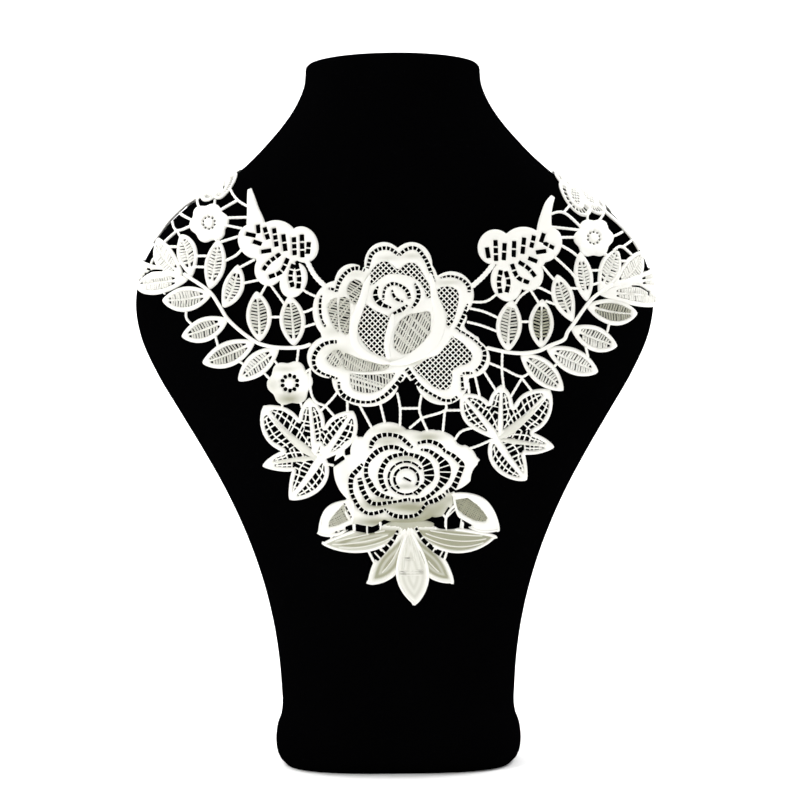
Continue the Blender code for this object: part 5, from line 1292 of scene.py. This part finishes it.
def makeThread():
    look = threadLook
    material, nodes, links, shader = makeMaterial("guipure_thread", look["ivory"], look["roughness"])
    shader.inputs["Sheen Weight"].default_value = look["sheen"]
    shader.inputs["Sheen Roughness"].default_value = 0.4
    shader.inputs["Specular IOR Level"].default_value = 0.35
    spots = nodes.new("ShaderNodeUVMap")
    spots.uv_map = "thread"
    stitches = nodes.new("ShaderNodeTexWave")
    stitches.bands_direction = "X"
    stitches.inputs["Scale"].default_value = 2 * math.pi / (20 * look["stitch"])
    stitches.inputs["Distortion"].default_value = 1.2
    stitches.inputs["Detail"].default_value = 1.0
    stitches.inputs["Detail Scale"].default_value = 1.5
    links.new(spots.outputs["UV"], stitches.inputs["Vector"])
    place3 = nodes.new("ShaderNodeTexCoord")
    uneven = nodes.new("ShaderNodeTexNoise")
    uneven.inputs["Scale"].default_value = 90.0
    uneven.inputs["Detail"].default_value = 3.0
    links.new(place3.outputs["Object"], uneven.inputs["Vector"])
    # the shade attribute mixes the ivory toward olive: painted shade
    paintedShade = nodes.new("ShaderNodeAttribute")
    paintedShade.attribute_name = "shade"
    dark = nodes.new("ShaderNodeMix")
    dark.data_type = "RGBA"
    dark.inputs["A"].default_value = (*look["ivory"], 1.0)
    dark.inputs["B"].default_value = (*look["shadeOlive"], 1.0)
    links.new(paintedShade.outputs["Fac"], dark.inputs["Factor"])
    mottle = nodes.new("ShaderNodeMix")
    mottle.data_type = "RGBA"
    mottle.blend_type = "MULTIPLY"
    mottle.inputs["B"].default_value = (*look["mottle"], 1.0)
    links.new(uneven.outputs["Fac"], mottle.inputs["Factor"])
    links.new(dark.outputs["Result"], mottle.inputs["A"])
    links.new(mottle.outputs["Result"], shader.inputs["Base Color"])
    bump = nodes.new("ShaderNodeBump")
    bump.inputs["Strength"].default_value = look["bump"]
    bump.inputs["Distance"].default_value = look["depth"]
    links.new(stitches.outputs["Fac"], bump.inputs["Height"])
    links.new(bump.outputs["Normal"], shader.inputs["Normal"])
    return material


# the olive colour is the colour of the painted shade
threadLook = {
    "ivory": (0.87, 0.86, 0.82), "shadeOlive": (0.30, 0.299, 0.205), "mottle": (0.93, 0.93, 0.90),
    "roughness": 0.5, "sheen": 0.25, "stitch": 0.42, "bump": 0.5, "depth": 0.00008,
}
velvetLook = {"colour": (0.0005, 0.0005, 0.0006), "sheen": 0.0, "sheenTint": (0.5, 0.5, 0.55), "nap": 900.0, "pile": 0.0002}


def makeVelvet():
    look = velvetLook
    material, nodes, links, shader = makeMaterial("black_velvet", look["colour"], 1.0)
    shader.inputs["Specular IOR Level"].default_value = 0.0
    shader.inputs["Sheen Weight"].default_value = look["sheen"]
    shader.inputs["Sheen Roughness"].default_value = 0.5
    shader.inputs["Sheen Tint"].default_value = (*look["sheenTint"], 1.0)
    spots = nodes.new("ShaderNodeTexCoord")
    nap = nodes.new("ShaderNodeTexNoise")
    nap.inputs["Scale"].default_value = look["nap"]
    nap.inputs["Detail"].default_value = 2.0
    links.new(spots.outputs["Object"], nap.inputs["Vector"])
    brushed = nodes.new("ShaderNodeTexNoise")
    brushed.inputs["Scale"].default_value = 18.0
    brushed.inputs["Detail"].default_value = 2.0
    links.new(spots.outputs["Object"], brushed.inputs["Vector"])
    tone = nodes.new("ShaderNodeMix")
    tone.data_type = "RGBA"
    tone.inputs["A"].default_value = (*look["colour"], 1.0)
    tone.inputs["B"].default_value = tuple(1.8 * c for c in look["colour"]) + (1.0,)
    links.new(brushed.outputs["Fac"], tone.inputs["Factor"])
    links.new(tone.outputs["Result"], shader.inputs["Base Color"])
    bump = nodes.new("ShaderNodeBump")
    bump.inputs["Strength"].default_value = 0.4
    bump.inputs["Distance"].default_value = look["pile"]
    links.new(nap.outputs["Fac"], bump.inputs["Height"])
    links.new(bump.outputs["Normal"], shader.inputs["Normal"])
    return material


laceThread, velvet = makeThread(), makeVelvet()


# The velvet bust: a grid bent round its sections, its seam welded and its two ends closed
levels = np.unique(np.concatenate([heights, np.arange(0.0, heights[-1], bust["ringStep"])]))
levels = levels[np.concatenate([[True], np.diff(levels) > 0.4])]
levels[-1] = heights[-1]
around = np.linspace(-math.pi, math.pi, bust["sides"] + 1)
mesh = bmesh.new()
made = bmesh.ops.create_grid(mesh, x_segments=bust["sides"], y_segments=len(levels) - 1, size=1.0)["verts"]
for vert, point in zip(made, ringPoint(*np.meshgrid(around, levels)).reshape(-1, 3).tolist()):
    vert.co = [value * mm for value in point]
bmesh.ops.remove_doubles(mesh, verts=mesh.verts[:], dist=0.00001)
bmesh.ops.holes_fill(mesh, edges=[edge for edge in mesh.edges if edge.is_boundary], sides=0)
bmesh.ops.recalc_face_normals(mesh, faces=mesh.faces[:])
data = bpy.data.meshes.new("velvet_bust")
mesh.to_mesh(data)
mesh.free()
data.shade_smooth()
data.set_sharp_from_angle(angle=math.radians(50.0))
data.materials.append(velvet)
velvetBust = bpy.data.objects.new("velvet_bust", data)
bpy.context.scene.collection.objects.link(velvetBust)
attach(velvetBust, "root")
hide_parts("display_bust")
print("bust done")

# The collar; cords between the motifs stop at these outlines
leafRows = [row[:7] for side in ("Left", "Right") for row in spray["leaves" + side] + palm["leaves" + side]]
lobeRows = [row for side in ("Left", "Right") for row in lily["lobes" + side]]
collarShapes = [leafShape(row, 1.0, 1.0)["outline"] for row in leafRows + list(tail["leaves"])]
collarShapes += [ellipseShape(row) for row in lobeRows + list(upperRose["petals"] + lowerRose["petals"])]
collarShapes += [daisyShape(name) for name in daisies["eyes"]]
finishLace(makeUpperRose(), "rose_upper", "upper_rose")
finishLace(makeLowerRose(), "rose_lower", "lower_rose")
for side in ("Left", "Right"):
    low = side.lower()
    finishLace(makeLily(side), "lily_lace_" + low, "lily_" + low)
    finishLace(makePalm(side), "palm_lace_" + low, "palm_leaf_" + low)
    finishLace(makeSpray(side), "spray_lace_" + low, "leaf_spray_" + low)
    finishLace(makeDaisy("daisyUpper" + side), "daisy_lace_upper_" + low, "daisy_upper_" + low)
    finishLace(makeShoulder(side), "shoulder_lace_" + low, "shoulder_piece_" + low, overShoulder)
finishLace(makeDaisy("daisyLowerLeft"), "daisy_lace_lower_left", "daisy_lower_left")
finishLace(makeTail(), "tail_lace", "leaf_tail")

# Floor, light and camera
studio = {
    "floorHalf": 3.0, "wall": 1.6, "white": (0.93, 0.93, 0.93), "world": 0.35,
    "lights": (     # place, aim, size, energy
        ((-0.9, -0.9, 1.3), (0, 0, 0.2), (0.7, 0.7), 13.0), ((1.2, -1.4, 0.5), (0, 0, 0.2), (1.2, 1.2), 5.0),
        ((-1.6, 1.0, 1.6), (0, 1.9, 0.2), (2.0, 1.0), 60.0), ((1.6, 1.0, 1.6), (0, 1.9, 0.2), (2.0, 1.0), 60.0),
        ((0, 0.9, 2.6), (0, 0.6, 0), (3.0, 2.0), 60.0),
    ),
}
mesh = bmesh.new()
floorVerts = bmesh.ops.create_grid(mesh, x_segments=1, y_segments=24, size=1.0)["verts"]
for k, vert in enumerate(floorVerts):
    row = k // 2
    x = (-1.0 if k % 2 == 0 else 1.0) * studio["floorHalf"]
    if row <= 8:
        vert.co = (x, -studio["floorHalf"] + row / 8 * (studio["floorHalf"] + studio["wall"]), 0.0)
    else:
        t = (row - 8) / 16 * math.pi / 2
        vert.co = (x, studio["wall"] + 1.4 * math.sin(t), 1.4 * (1 - math.cos(t)))
top = [edge for edge in mesh.edges if all(vert.co.z > 1.39 for vert in edge.verts)]
raised = bmesh.ops.extrude_edge_only(mesh, edges=top)["geom"]
bmesh.ops.translate(mesh, verts=[item for item in raised if isinstance(item, bmesh.types.BMVert)], vec=(0, 0, 3.0))
data = bpy.data.meshes.new("studio_floor")
mesh.to_mesh(data)
mesh.free()
data.shade_smooth()
paper, nodes, links, shader = makeMaterial("studio_paper", studio["white"], 0.9)
data.materials.append(paper)
floor = bpy.data.objects.new("studio_floor", data)
bpy.context.scene.collection.objects.link(floor)


def areaLight(name, place3, aim, size, energy):
    lamp = bpy.data.lights.new(name, "AREA")
    lamp.shape = "RECTANGLE"
    lamp.size, lamp.size_y = size
    lamp.energy = energy
    light = bpy.data.objects.new(name, lamp)
    light.location = place3
    light.rotation_euler = (Vector(aim) - Vector(place3)).to_track_quat("-Z", "Y").to_euler()
    bpy.context.scene.collection.objects.link(light)


for k, row in enumerate(studio["lights"]):
    areaLight("light_" + str(k), *row)
world = bpy.data.worlds.new("studio_air")
world.use_nodes = True
world.node_tree.nodes["Background"].inputs["Color"].default_value = (1.0, 1.0, 1.0, 1.0)
world.node_tree.nodes["Background"].inputs["Strength"].default_value = studio["world"]
bpy.context.scene.world = world
bpy.context.scene.view_settings.view_transform = "Standard"

cameraData = bpy.data.cameras.new("camera")
camera = bpy.data.objects.new("camera", cameraData)
camera.location = (eye["x"] * mm, -eye["distance"] * mm, eye["height"] * mm)
camera.rotation_euler = (math.pi / 2, math.radians(eye["roll"]), 0.0)
cameraData.angle = 2 * math.atan(eye["view"] / 2 / eye["distance"])
bpy.context.scene.collection.objects.link(camera)
bpy.context.scene.camera = camera

print("scene done")
